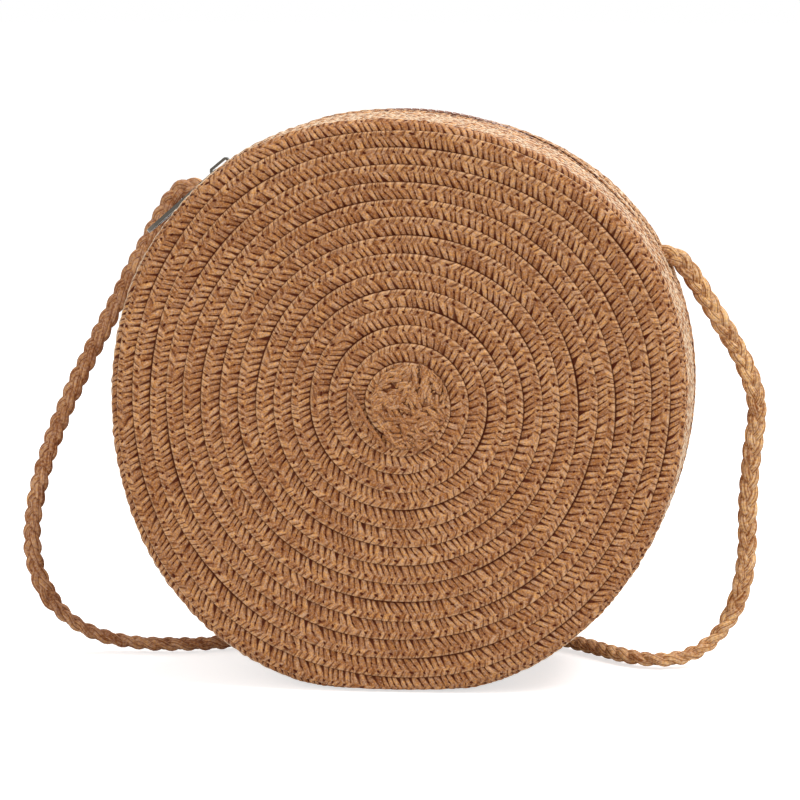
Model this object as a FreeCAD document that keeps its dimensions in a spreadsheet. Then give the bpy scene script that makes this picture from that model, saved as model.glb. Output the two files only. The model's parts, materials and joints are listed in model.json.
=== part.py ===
import FreeCAD, Part
import math
import os
import Sketcher

Vector = FreeCAD.Vector
Rotation = FreeCAD.Rotation
Placement = FreeCAD.Placement
AXIS_X = Vector(1, 0, 0)
AXIS_Y = Vector(0, 1, 0)
AXIS_Z = Vector(0, 0, 1)

# Millimetres and degrees. Angles round the bag are counted from the top, clockwise seen from the front.
SIZES = {
    "disc_radius": 90,
    "bag_depth": 78,
    "edge_radius": 10,
    "edge_rows": 3,
    "lining_edge_rows": 1,
    "shell_wall": 2.6,
    "base_drop": 3.5,
    "lining_inset": 3.7,
    "lining_wall": 0.6,
    "zip_roll": 12,
    "zip_half_span": 58,
    "slit_half": 4.5,
    "lining_slit_half": 7.5,
    "fold_gap": 0.3,
    "tape_edge": 1.2,
    "tape_reach": 9,
    "tape_wall": 0.6,
    "tape_seat": 0.15,
    "tape_trim_angle": 1.5,
    "tape_lap_angle": 4,
    "tooth_pitch": 2.5,
    "tooth_long": 1,
    "tooth_tall": 1.9,
    "tooth_root": 2.3,
    "tooth_nose": 0.6,
    "tooth_chamfer": 0.4,
    "tooth_seat": 0.05,
    "chain_lead": 1.7,
    "chain_tail": 4.6,
    "slider_length": 9,
    "slider_half_wide": 3.5,
    "slider_half_narrow": 3.1,
    "slider_plate": 0.9,
    "slider_flange": 0.8,
    "slider_gap": 0.3,
    "slider_stop_gap": 0.6,
    "post_length": 3,
    "post_half": 0.8,
    "post_end_gap": 0.4,
    "bridge_length": 7.2,
    "bridge_half": 1.1,
    "bridge_bar": 0.8,
    "bridge_chamfer": 0.7,
    "eye_gap": 0.45,
    "tab_length": 29,
    "tab_half": 3.5,
    "tab_neck_half": 2.7,
    "tab_wall": 1.2,
    "tab_eye_long": 6.2,
    "tab_hole_half": 1.9,
    "tab_hole_long": 11,
    "tab_hole_end": 2.4,
    "tab_tip_round": 3.2,
    "tab_hole_round": 1.6,
    "tab_tilt": 1.5,
    "stop_half": 2.4,
    "stop_inner": 0.3,
    "stop_tall": 1.7,
    "top_stop_inset": 4,
    "top_stop_long": 1.8,
    "bottom_stop_inset": 6.7,
    "bottom_stop_long": 2.6,
    "seam_inset": 3.1,
    "seam_wall": 0.5,
    "seam_half": 2.5,
    "seam_lap_angle": 5,
    "rope_diameter": 5.5,
    "rope_hole_gap": 0.5,
    "rope_sides": 6,
    "hole_sides": 8,
    "left_anchor_angle": -46,
    "right_anchor_angle": 60.5,
    "anchor_back": 14,
    "knot_radius": 6,
    "knot_long": 9,
    "knot_chamfer": 2,
    "knot_seat": 0.3,
    "knot_socket_gap": 0.05,
    "coil_inner": 26,
    "coil_turns": 3,
    "coil_pitch": 6.2,
    "coil_rise": 6.1,
    "coil_back": 46.5,
    "tie_wall": 0.6,
    "tie_wide": 4,
    "tie_gap": 0.3,
}

# Points of the rope's two free runs. The left one goes from its knot to the coil, the right one from the coil
# to its knot. Each leaves the bag radially, bends over and hangs to the surface beside the bag.
LEFT_ROUTE = [
    (-57.2, 14.0, 141.7), (-67.0, 14.0, 151.2), (-71.4, 14.0, 152.0), (-75.4, 14.0, 150.0),
    (-80.4, 14.0, 141.4), (-86.2, 14.0, 131.2), (-95.4, 14.0, 113.9), (-104.9, 14.0, 96.2),
    (-113.4, 14.0, 78.5), (-120.2, 14.0, 60.5), (-124.4, 14.2, 43.0), (-124.0, 14.4, 27.5),
    (-117.4, 14.6, 14.0), (-106.0, 14.5, 5.8), (-91.5, 14.0, 2.9), (-76.0, 13.6, 2.75),
    (-63.0, 17.5, 2.75), (-51.0, 27.5, 2.75), (-39.0, 39.0, 2.9), (-23.0, 46.5, 3.7), (-5.5, 46.5, 3.7),
]
RIGHT_ROUTE = [
    (5.5, 46.5, 9.8), (19.0, 46.5, 9.8), (31.0, 44.5, 6.0), (43.0, 38.2, 2.9), (53.0, 29.0, 2.75),
    (61.6, 19.4, 2.75), (70.0, 10.2, 2.75), (79.5, 4.0, 2.75), (90.5, 8.5, 3.1), (99.4, 13.0, 7.8),
    (106.0, 14.0, 18.5), (109.2, 14.0, 33.5), (108.6, 14.0, 50.5), (109.8, 14.3, 67.5), (112.0, 14.0, 83.5),
    (107.6, 14.0, 96.5), (100.9, 14.0, 107.5), (94.2, 14.0, 118.0), (89.2, 14.0, 125.8), (85.0, 14.0, 130.4),
    (79.2, 14.0, 131.3), (69.2, 14.0, 125.6),
]
CORNER_SHARE = 0.45
QUARTER_TURN = 90
# Millimetres by which an edge may miss the place where it is looked for.
PICK_SLACK = 0.01
# Least share of a direction at which two directions count as the same.
PARALLEL = 0.999
# Cutting blocks are this many times as large as the bag.
CUT_REACH = 1.2
# Millimetres by which a facet may leave its surface where the facets are counted.
FACET_SLACK = 0.1
# Points per turn at which the coil's gap to itself is looked at.
GAP_POINTS = 120
BASE_HEIGHT = "(dims.disc_radius - dims.base_drop)"
TAPE_TOP = "(dims.disc_radius - dims.shell_wall - dims.tape_seat)"
TOOTH_FOOT = f"({TAPE_TOP} + dims.tooth_seat)"
TOOTH_HEAD = f"({TOOTH_FOOT} + dims.tooth_tall)"
PLATE_FOOT = f"({TOOTH_HEAD} + dims.slider_gap)"
PLATE_TOP = f"({PLATE_FOOT} + dims.slider_plate)"
FLOOR_TOP = f"({TAPE_TOP} - dims.tape_wall - dims.slider_gap)"
EYE_REACH = f"({PLATE_TOP} + dims.eye_gap + dims.tab_wall / 2)"
EYE_BACK = "(dims.bridge_length / 2 - dims.bridge_bar - dims.eye_gap - dims.tab_wall / 2)"
ZIP_REACH = f"({TOOTH_FOOT} + dims.tooth_tall / 2)"
LINING_REACH = "(dims.disc_radius - dims.lining_inset - dims.lining_wall)"
KNOT_REACH = f"({LINING_REACH} - dims.knot_seat - dims.knot_long / 2)"


def zip_turn(length):
    """Angle that a length along the zip takes."""
    return f"(({length}) / {ZIP_REACH} * 180 / pi)"


TOP_STOP_ANGLE = f"(dims.zip_roll - dims.zip_half_span + {zip_turn('dims.top_stop_inset')})"
STOP_TO_SLIDER = zip_turn("dims.top_stop_long / 2 + dims.slider_stop_gap + dims.slider_length / 2")
SLIDER_ANGLE = f"({TOP_STOP_ANGLE} + {STOP_TO_SLIDER})"
BOTTOM_STOP_ANGLE = f"(dims.zip_roll + dims.zip_half_span - {zip_turn('dims.bottom_stop_inset')})"
CHAIN_START = f"({SLIDER_ANGLE} + {zip_turn('dims.chain_lead')})"
CHAIN_END = f"({BOTTOM_STOP_ANGLE} - {zip_turn('dims.chain_tail')})"

doc = FreeCAD.newDocument("circle_bag")
sheet = doc.addObject("Spreadsheet::Sheet", "dims")
for row, (alias, number) in enumerate(SIZES.items(), 1):
    sheet.set(f"A{row}", alias)
    sheet.set(f"B{row}", str(number))
    sheet.setAlias(f"B{row}", alias)
doc.recompute()


def size(expression):
    return float(sheet.evalExpression(expression))


def bind(item, **sizes):
    for name, expression in sizes.items():
        item.setExpression(name, expression)


centre = Vector(0, 0, size(BASE_HEIGHT))


def turned(angle):
    """Placement of a piece that is drawn at the top of the bag and set round it by an angle."""
    return Placement(centre, Rotation(AXIS_Y, angle))


def round_point(angle, reach, along):
    """Point at an angle round the bag, at a reach from its axis and a distance along it."""
    turn = math.radians(angle)
    return centre + Vector(reach * math.sin(turn), along, reach * math.cos(turn))


def new_body(name, placement):
    body = doc.addObject("PartDesign::Body", name)
    body.Placement = placement
    return body


def sketch_on(body, role, name, lift="0"):
    sketch = body.newObject("Sketcher::SketchObject", name)
    plane = [item for item in body.Origin.OriginFeatures if item.Role == role][0]
    sketch.AttachmentSupport = [(plane, "")]
    sketch.MapMode = "FlatFace"
    sketch.setExpression("AttachmentOffset.Base.z", lift)
    return sketch


def outline(sketch, points):
    """Closed outline with straight sides, each corner held by two bound distances."""
    corners = [Vector(size(across), size(up), 0) for across, up in points]
    first = sketch.GeometryCount
    count = len(corners)
    for index, corner in enumerate(corners):
        sketch.addGeometry(Part.LineSegment(corner, corners[(index + 1) % count]))
    for index in range(count):
        after = first + (index + 1) % count
        sketch.addConstraint(Sketcher.Constraint("Coincident", first + index, 2, after, 1))
    for index, (corner, (across, up)) in enumerate(zip(corners, points)):
        held = sketch.addConstraint(Sketcher.Constraint("DistanceX", -1, 1, first + index, 1, corner.x))
        sketch.setExpression(f"Constraints[{held}]", across)
        held = sketch.addConstraint(Sketcher.Constraint("DistanceY", -1, 1, first + index, 1, corner.y))
        sketch.setExpression(f"Constraints[{held}]", up)


def pad(body, sketch, length, middle=False):
    feature = body.newObject("PartDesign::Pad", sketch.Name + "_pad")
    feature.Profile = sketch
    feature.Midplane = middle
    bind(feature, Length=length)
    doc.recompute()
    return feature


def rounded(body, base, edges, radius, name):
    feature = body.newObject("PartDesign::Fillet", name)
    feature.Base = (base, edges)
    bind(feature, Radius=radius)
    doc.recompute()
    return feature


def edges_where(shape, test):
    return [f"Edge{index}" for index, edge in enumerate(shape.Edges, 1) if test(edge)]


def runs_along(edge, axis):
    ends = [vertex.Point for vertex in edge.Vertexes]
    return len(ends) == 2 and abs((ends[1] - ends[0]).normalize().dot(axis)) > PARALLEL


def boolean(kind, name, base, tool):
    result = doc.addObject("Part::" + kind, name)
    result.Base = base
    result.Tool = tool
    doc.recompute()
    return result


def swept(body, profile, angle):
    """Turns a profile about the bag's axis."""
    feature = body.newObject("PartDesign::Revolution", profile.Name + "_sweep")
    feature.Profile = profile
    feature.ReferenceAxis = (profile, ["H_Axis"])
    bind(feature, Angle=angle)
    doc.recompute()
    return feature


def pan(name, inset, side, rows):
    """Half of the bag as a solid: flat face, rounded edge, straight gusset and a flattened base.

    Each row of braid is a straight band, so the rounded edge is a fan of rows that touch one arc.
    """
    body = new_body(name, turned(0))
    profile = sketch_on(body, "YZ_Plane", name + "_profile")
    face = f"(dims.bag_depth / 2 - {inset})"
    radius = f"(dims.edge_radius - {inset})"
    arc_along = f"({face} - {radius})"
    arc_reach = f"(dims.disc_radius - {inset} - {radius})"
    points = [("0", "0"), (f"{side} * {face}", "0")]
    count = int(size(rows))
    for row in range(count + 1):
        turn = f"({row} * {QUARTER_TURN} / {rows} * 1 deg)"
        along = f"{side} * ({arc_along} + {radius} * cos({turn}))"
        points.append((along, f"{arc_reach} + {radius} * sin({turn})"))
    points.append(("0", f"dims.disc_radius - {inset}"))
    outline(profile, points)
    swept(body, profile, "360")
    base = body.newObject("PartDesign::SubtractiveBox", name + "_base")
    bind(base, Length="2 * dims.disc_radius", Width="dims.bag_depth", Height="dims.disc_radius")
    base.setExpression("Placement.Base.x", "-dims.disc_radius")
    base.setExpression("Placement.Base.y", "-dims.bag_depth / 2")
    base.setExpression("Placement.Base.z", f"{inset} - {BASE_HEIGHT} - dims.disc_radius")
    doc.recompute()
    return body


def pie(name, half_width, half_span):
    """Sector about the bag's axis, its middle at the middle of the zip."""
    sector = doc.addObject("Part::Cylinder", name)
    reach = f"dims.disc_radius * {CUT_REACH}"
    bind(sector, Radius=reach, Height=f"2 * {half_width}", Angle=f"2 * {half_span}")
    start = QUARTER_TURN - size("dims.zip_roll") - size(half_span)
    turn = Rotation(AXIS_Y, -start) * Rotation(AXIS_X, QUARTER_TURN)
    sector.Placement = Placement(centre + AXIS_Y * size(half_width), turn)
    return sector


def above_fold(name, lift):
    """Block that takes everything above the line where the front folds."""
    block = doc.addObject("Part::Box", name)
    reach = f"dims.disc_radius * {CUT_REACH}"
    bind(block, Length=f"2 * {reach}", Width="dims.bag_depth", Height="dims.disc_radius")
    turn = Rotation(AXIS_Y, size("dims.zip_roll"))
    depth = size("dims.disc_radius * cos(dims.zip_half_span * 1 deg)") + size(lift)
    corner = Vector(-size(reach), -size("dims.bag_depth"), depth)
    block.Placement = Placement(centre + turn.multVec(corner), turn)
    return block


def arc_band(name, points, start, span):
    """Strip with a profile (along the axis, reach), swept round the bag's axis."""
    body = new_body(name, turned(size(start)))
    profile = sketch_on(body, "YZ_Plane", name + "_profile")
    outline(profile, points)
    swept(body, profile, span)
    return body


def zip_tape(name, side, half_span):
    edge = f"{side} * dims.tape_edge"
    reach = f"{side} * dims.tape_reach"
    points = [
        (edge, TAPE_TOP),
        (reach, TAPE_TOP),
        (reach, f"{TAPE_TOP} - dims.tape_wall"),
        (edge, f"{TAPE_TOP} - dims.tape_wall"),
    ]
    return arc_band(name, points, f"dims.zip_roll - {half_span}", f"2 * {half_span}")


def zip_teeth(name, side, shift):
    """Row of teeth with chamfered noses that reach past the zip's middle line."""
    step = zip_turn("dims.tooth_pitch")
    start = size(CHAIN_START) + shift * size(step)
    count = int((size(CHAIN_END) - start) / size(step)) + 1
    body = new_body(name, turned(start))
    profile = sketch_on(body, "YZ_Plane", name + "_profile")
    root = f"{side} * dims.tooth_root"
    shoulder = f"{side} * (dims.tooth_root - dims.tooth_chamfer)"
    neck = f"{side} * (dims.tooth_nose - 2 * dims.tooth_chamfer) * -1"
    nose = f"{side} * dims.tooth_nose * -1"
    outline(profile, [
        (root, TOOTH_FOOT),
        (root, f"{TOOTH_HEAD} - dims.tooth_chamfer"),
        (shoulder, TOOTH_HEAD),
        (neck, TOOTH_HEAD),
        (nose, f"{TOOTH_HEAD} - dims.tooth_chamfer"),
        (nose, f"{TOOTH_FOOT} + dims.tooth_chamfer"),
        (neck, TOOTH_FOOT),
    ])
    tooth = pad(body, profile, "dims.tooth_long", middle=True)
    row_of = body.newObject("PartDesign::PolarPattern", name + "_row")
    row_of.Originals = [tooth]
    axis = [item for item in body.Origin.OriginFeatures if item.Role == "Y_Axis"][0]
    row_of.Axis = (axis, [""])
    row_of.Occurrences = count
    bind(row_of, Angle=f"{count - 1} * {step}")
    body.Tip = row_of
    doc.recompute()
    return body


def tapered_plate(sketch, length, left, right):
    outline(sketch, [
        (f"-{length} / 2", left),
        (f"{length} / 2", right),
        (f"{length} / 2", f"-{right}"),
        (f"-{length} / 2", f"-{left}"),
    ])


def zip_slider(name):
    """Floor plate, dividing post, top plate and two flanges round the teeth."""
    body = new_body(name, turned(size(SLIDER_ANGLE)))
    plate = ("dims.slider_length", "dims.slider_half_wide", "dims.slider_half_narrow")
    low = sketch_on(body, "XY_Plane", name + "_floor", f"{FLOOR_TOP} - dims.slider_plate")
    tapered_plate(low, *plate)
    pad(body, low, "dims.slider_plate")
    post = sketch_on(body, "XY_Plane", name + "_post", FLOOR_TOP)
    left = "-dims.slider_length / 2 + dims.post_end_gap"
    outline(post, [
        (left, "0"),
        (f"{left} + dims.post_length / 3", "dims.post_half"),
        (f"{left} + dims.post_length", "0"),
        (f"{left} + dims.post_length / 3", "-dims.post_half"),
    ])
    pad(body, post, f"{PLATE_FOOT} - {FLOOR_TOP}")
    top = sketch_on(body, "XY_Plane", name + "_top", PLATE_FOOT)
    tapered_plate(top, *plate)
    pad(body, top, "dims.slider_plate")
    flanges = sketch_on(body, "XY_Plane", name + "_flanges", f"{TOOTH_FOOT} + dims.slider_gap")
    for side in ("1", "-1"):
        outline(flanges, [
            ("-dims.slider_length / 2", f"{side} * dims.slider_half_wide"),
            ("dims.slider_length / 2", f"{side} * dims.slider_half_narrow"),
            ("dims.slider_length / 2", f"{side} * (dims.slider_half_narrow - dims.slider_flange / 2)"),
            ("-dims.slider_length / 2", f"{side} * (dims.slider_half_wide - dims.slider_flange)"),
        ])
    walls = pad(body, flanges, f"{PLATE_FOOT} - {TOOTH_FOOT} - dims.slider_gap")
    reach = size(PLATE_TOP)
    corners = edges_where(walls.Shape, lambda edge: edge.CenterOfMass.z > reach - PICK_SLACK)
    rounded(body, walls, corners, "dims.slider_plate / 2", name + "_round")
    return body


def slider_bridge(name):
    """Arch on the slider's top plate that holds the pull tab's eye."""
    body = new_body(name, turned(size(SLIDER_ANGLE)))
    arch = sketch_on(body, "XZ_Plane", name + "_arch")
    half = "dims.bridge_length / 2"
    inner = f"({half} - dims.bridge_bar)"
    under = f"({EYE_REACH} + dims.tab_wall / 2 + dims.eye_gap)"
    crown = f"({under} + dims.bridge_bar)"
    outline(arch, [
        (f"-{half}", PLATE_TOP),
        (f"-{half}", f"{crown} - dims.bridge_chamfer"),
        (f"-{half} + dims.bridge_chamfer", crown),
        (f"{half} - dims.bridge_chamfer", crown),
        (half, f"{crown} - dims.bridge_chamfer"),
        (half, PLATE_TOP),
        (inner, PLATE_TOP),
        (inner, under),
        (f"-{inner}", under),
        (f"-{inner}", PLATE_TOP),
    ])
    pad(body, arch, "2 * dims.bridge_half", middle=True)
    return body


def pull_tab(name):
    """Flat tab with an eye round the bridge and a long window towards its tip."""
    rest = size(SLIDER_ANGLE)
    axis = turned(rest).multVec(Vector(-size(EYE_BACK), 0, size(EYE_REACH)))
    print(f"{name}: hinge at x {axis.x:.3f}, z {axis.z:.3f}")
    body = new_body(name, Placement(axis, Rotation(AXIS_Y, rest + 2 * QUARTER_TURN - size("dims.tab_tilt"))))
    plate = sketch_on(body, "XY_Plane", name + "_plate")
    head = "-dims.tab_wall / 2"
    tip = "dims.tab_length"
    outline(plate, [
        (head, "dims.tab_half"),
        ("dims.tab_eye_long", "dims.tab_half"),
        ("dims.tab_eye_long * 2", "dims.tab_neck_half"),
        (tip, "dims.tab_half"),
        (tip, "-dims.tab_half"),
        ("dims.tab_eye_long * 2", "-dims.tab_neck_half"),
        ("dims.tab_eye_long", "-dims.tab_half"),
        (head, "-dims.tab_half"),
    ])
    eye = "(dims.bridge_half + dims.eye_gap)"
    outline(plate, [
        ("dims.tab_wall / 2", eye),
        ("dims.tab_eye_long", eye),
        ("dims.tab_eye_long", f"-{eye}"),
        ("dims.tab_wall / 2", f"-{eye}"),
    ])
    outline(plate, [
        (f"{tip} - dims.tab_hole_end - dims.tab_hole_long", "dims.tab_hole_half"),
        (f"{tip} - dims.tab_hole_end", "dims.tab_hole_half"),
        (f"{tip} - dims.tab_hole_end", "-dims.tab_hole_half"),
        (f"{tip} - dims.tab_hole_end - dims.tab_hole_long", "-dims.tab_hole_half"),
    ])
    flat = pad(body, plate, "dims.tab_wall", middle=True)
    length = size(tip)
    ends = edges_where(
        flat.Shape, lambda edge: runs_along(edge, AXIS_Z) and edge.CenterOfMass.x > length - PICK_SLACK
    )
    tipped = rounded(body, flat, ends, "dims.tab_tip_round", name + "_tip")
    window = length - size("dims.tab_hole_end")
    start = window - size("dims.tab_hole_long")
    reach = size("dims.tab_hole_half") + PICK_SLACK
    corners = edges_where(tipped.Shape, lambda edge: (
        runs_along(edge, AXIS_Z)
        and start - PICK_SLACK < edge.CenterOfMass.x < window + PICK_SLACK
        and abs(edge.CenterOfMass.y) < reach
    ))
    rounded(body, tipped, corners, "dims.tab_hole_round", name + "_window")
    return body


def zip_stop(name, angle, low, high, long):
    """Small metal block clamped on the tape's edge."""
    body = new_body(name, turned(size(angle)))
    profile = sketch_on(body, "YZ_Plane", name + "_profile")
    head = f"{TOOTH_FOOT} + dims.stop_tall"
    outline(profile, [(low, TOOTH_FOOT), (high, TOOTH_FOOT), (high, head), (low, head)])
    pad(body, profile, long, middle=True)
    return body


def seam_ring(name, inset):
    """Disc across the lower seam with the same flat base as the pans."""
    ring = doc.addObject("Part::Cylinder", name + "_disc")
    bind(ring, Radius=f"dims.disc_radius - {inset}", Height="2 * dims.seam_half")
    ring.Placement = Placement(centre + AXIS_Y * size("dims.seam_half"), Rotation(AXIS_X, QUARTER_TURN))
    base = doc.addObject("Part::Box", name + "_base")
    bind(base, Length="2 * dims.disc_radius", Width="dims.bag_depth", Height="dims.disc_radius")
    low = size(f"{inset} - dims.disc_radius")
    corner = Vector(-size("dims.disc_radius"), -size("dims.bag_depth / 2"), low)
    base.Placement = Placement(corner, Rotation())
    return boolean("Cut", name, ring, base)


def radial(angle, reach):
    """Placement on the rope's way through the gusset, with its Z axis outwards."""
    point = round_point(size(angle), size(reach), size("dims.anchor_back"))
    return Placement(point, Rotation(AXIS_Y, size(angle)))


def hole_rod(name, radius, length, place):
    """Rod with flat sides that lie a radius from its middle, which cuts a hole for the rope."""
    rod = doc.addObject("Part::Prism", name)
    corner = f"({radius}) / cos(180 deg / dims.hole_sides)"
    bind(rod, Polygon="dims.hole_sides", Circumradius=corner, Height=length)
    rod.Placement = place
    return rod


def gusset_rod(name, angle):
    """Rod along the rope's way through the gusset."""
    radius = "dims.rope_diameter / 2 + dims.rope_hole_gap"
    length = f"dims.disc_radius - {KNOT_REACH} + dims.knot_radius"
    return hole_rod(name, radius, length, radial(angle, KNOT_REACH))


def rope_knot(name, angle, start):
    """Barrel knot inside the lining, with a socket that holds the rope's end."""
    barrel = new_body(name + "_barrel", radial(angle, KNOT_REACH))
    section = sketch_on(barrel, "XY_Plane", name + "_section")
    outline(section, [
        (f"dims.knot_radius * cos({turn} deg)", f"dims.knot_radius * sin({turn} deg)")
        for turn in range(0, 4 * QUARTER_TURN, QUARTER_TURN // 2)
    ])
    block = pad(barrel, section, "dims.knot_long", middle=True)
    faces = enumerate(block.Shape.Faces, 1)
    ends = [f"Face{index}" for index, face in faces if abs(face.normalAt(0, 0).z) > PARALLEL]
    bevel = barrel.newObject("PartDesign::Chamfer", name + "_bevel")
    bevel.Base = (block, ends)
    bind(bevel, Size="dims.knot_chamfer")
    radius = "dims.rope_diameter / 2 + dims.knot_socket_gap"
    place = Placement(start, Rotation(AXIS_Y, size(angle)))
    socket = hole_rod(name + "_socket", radius, "2 * dims.knot_long", place)
    return boolean("Cut", name, barrel, socket)


def corner_route(points):
    """Straight runs joined by tangent arcs, with the least radius of the arcs."""
    stops = [Vector(*point) for point in points]
    pieces = []
    least = math.inf
    last = stops[0]
    for before, corner, after in zip(stops, stops[1:], stops[2:]):
        into = corner - before
        away = after - corner
        trim = CORNER_SHARE * min(into.Length, away.Length)
        into.normalize()
        away.normalize()
        half_turn = into.getAngle(away) / 2
        radius = trim / math.tan(half_turn)
        least = min(least, radius)
        start = corner - into * trim
        end = corner + away * trim
        inward = (away - into).normalize()
        middle = corner + inward * (radius / math.cos(half_turn) - radius)
        pieces.append(Part.LineSegment(last, start).toShape())
        pieces.append(Part.Arc(start, middle, end).toShape())
        last = end
    pieces.append(Part.LineSegment(last, stops[-1]).toShape())
    return Part.Wire(pieces), least


def rope(name, wire, start, along):
    """Solid along a wire with the rope's section, whose corners lie on the rope's diameter."""
    radius = size("dims.rope_diameter / 2")
    sides = int(size("dims.rope_sides"))
    across = along.cross(AXIS_Z).normalize()
    upward = across.cross(along).normalize()
    turns = [2 * math.pi * (side + 0.5) / sides for side in range(sides + 1)]
    corners = [start + (across * math.cos(turn) + upward * math.sin(turn)) * radius for turn in turns]
    section = Part.makePolygon(corners)
    item = doc.addObject("Part::Feature", name)
    item.Shape = wire.makePipeShell([section], True, False)
    share = item.Shape.Volume / (Part.Face(section).Area * wire.Length)
    print(f"{name}: length {wire.Length:.1f} mm, volume share {share:.4f}")
    return item


def free_run(name, points):
    wire, least = corner_route(points)
    start = Vector(*points[0])
    item = rope(name, wire, start, Vector(*points[1]) - start)
    print(f"{name}: least radius {least:.1f} mm")
    return item


def coil_station(turn):
    """Point and direction of the coil's middle line, which winds inwards, climbs a layer and winds out."""
    half = math.pi * size("dims.coil_turns")
    climb = math.pi / 2
    pitch = size("dims.coil_pitch") / (2 * math.pi)
    outer = size("dims.coil_inner") + pitch * half
    middle = Vector(0, size("dims.coil_back") + outer, LEFT_ROUTE[-1][2])

    def at(angle):
        offset = angle - half
        if abs(offset) < climb:
            grow = offset ** 2 / (2 * climb) + climb / 2
        else:
            grow = abs(offset)
        share = min(max((offset + climb) / (2 * climb), 0), 1)
        lift = size("dims.coil_rise") * share * share * (3 - 2 * share)
        reach = size("dims.coil_inner") + pitch * grow
        return middle + Vector(reach * math.sin(angle), -reach * math.cos(angle), lift)

    step = 1e-4
    return at(turn), (at(turn + step) - at(turn - step)).normalize()


def arc_from(start, along, end):
    """Arc that leaves the start in a given direction and ends at a point."""
    chord = end - start
    rise = chord - along * chord.dot(along)
    half_turn = math.atan2(rise.Length, chord.dot(along))
    side = rise.normalize()
    radius = chord.Length / (2 * math.sin(half_turn))
    middle = start + along * (radius * math.sin(half_turn)) + side * (radius * (1 - math.cos(half_turn)))
    return Part.Arc(start, middle, end).toShape()


def biarc(start, along, end, onward):
    """Two tangent arcs between two points with given directions."""
    gap = end - start
    both = along + onward
    square = 2 * (1 - along.dot(onward))
    lean = gap.dot(both)
    reach = (-lean + math.sqrt(lean ** 2 + square * gap.dot(gap))) / square
    joint = (start + along * reach + end - onward * reach) * 0.5
    first = arc_from(start, along, joint)
    second = arc_from(end, onward * -1, joint)
    return [first, second]


def coil(name):
    """One unbroken tube with straight ends, wound in two layers."""
    quarters = 4 * int(size("dims.coil_turns"))
    stations = [coil_station(index * math.pi / 2) for index in range(quarters + 1)]
    first, last = Vector(*LEFT_ROUTE[-1]), Vector(*RIGHT_ROUTE[0])
    pieces = [Part.LineSegment(first, stations[0][0]).toShape()]
    stations[0] = (stations[0][0], AXIS_X)
    stations[-1] = (stations[-1][0], AXIS_X)
    for (start, along), (end, onward) in zip(stations, stations[1:]):
        pieces.extend(biarc(start, along, end, onward))
    pieces.append(Part.LineSegment(stations[-1][0], last).toShape())
    wire = Part.Wire(Part.__sortEdges__(pieces))
    item = rope(name, wire, first, AXIS_X)
    count = GAP_POINTS * int(size("dims.coil_turns"))
    points = wire.discretize(Number=count)
    apart = count // (2 * int(size("dims.coil_turns")))
    least = min(
        (one - two).Length for index, one in enumerate(points) for two in points[index + apart:]
    )
    print(f"{name}: least gap to itself {least - size('dims.rope_diameter'):.2f} mm")
    return item


def coil_tie(name):
    """Flat band round the coil on its far side."""
    turns = [coil_station(math.pi * number)[0] for number in (1, 3, 5)]
    margin = size("dims.rope_diameter / 2 + dims.tie_gap")
    low = min(point.y for point in turns) - margin
    high = max(point.y for point in turns) + margin
    bottom = min(point.z for point in turns) - margin
    top = max(point.z for point in turns) + margin
    blocks = []
    for tag, grow in (("_outside", size("dims.tie_wall")), ("_inside", 0)):
        block = doc.addObject("Part::Box", name + tag)
        bind(block, Length="dims.tie_wide" if grow else "2 * dims.tie_wide")
        block.Width = high - low + 2 * grow
        block.Height = top - bottom + 2 * grow
        doc.recompute()
        block.Placement = Placement(Vector(-block.Length.Value / 2, low - grow, bottom - grow), Rotation())
        blocks.append(block)
    return boolean("Cut", name, *blocks)


nodes = {}

# Straw pans with the zip's slit and the rope's holes.
slit = pie("slit", "dims.slit_half", "dims.zip_half_span")
lining_slit = pie("lining_slit", "dims.lining_slit_half", "dims.zip_half_span")
fold_block = above_fold("fold_block", "0")
lip_block = above_fold("lip_block", "dims.fold_gap")
holes = doc.addObject("Part::MultiFuse", "rope_holes")
holes.Shapes = [
    gusset_rod("left_hole", "dims.left_anchor_angle"),
    gusset_rod("right_hole", "dims.right_anchor_angle"),
]
doc.recompute()


def skin(name, inset, wall, side, rows, opening):
    """Hollow pan with the zip's opening cut out."""
    outer = pan(name + "_outer", inset, side, rows)
    inner = pan(name + "_inner", f"({inset} + {wall})", side, rows)
    return boolean("Cut", name + "_open", boolean("Cut", name + "_hollow", outer, inner), opening)


straw = ("0", "dims.shell_wall")
cloth = ("dims.lining_inset", "dims.lining_wall")
straw_front = skin("straw_front", *straw, "-1", "dims.edge_rows", slit)
straw_back = skin("straw_back", *straw, "1", "dims.edge_rows", slit)
cloth_front = skin("cloth_front", *cloth, "-1", "dims.lining_edge_rows", lining_slit)
cloth_back = skin("cloth_back", *cloth, "1", "dims.lining_edge_rows", lining_slit)
nodes["front_shell"] = boolean("Cut", "front_shell", straw_front, fold_block)
nodes["front_lip"] = boolean("Common", "front_lip", straw_front, lip_block)
nodes["back_shell"] = boolean("Cut", "back_shell", straw_back, holes)
nodes["lining_front"] = boolean("Cut", "lining_front", cloth_front, fold_block)
nodes["lining_lip"] = boolean("Common", "lining_lip", cloth_front, lip_block)
nodes["lining_back"] = boolean("Cut", "lining_back", cloth_back, holes)

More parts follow.
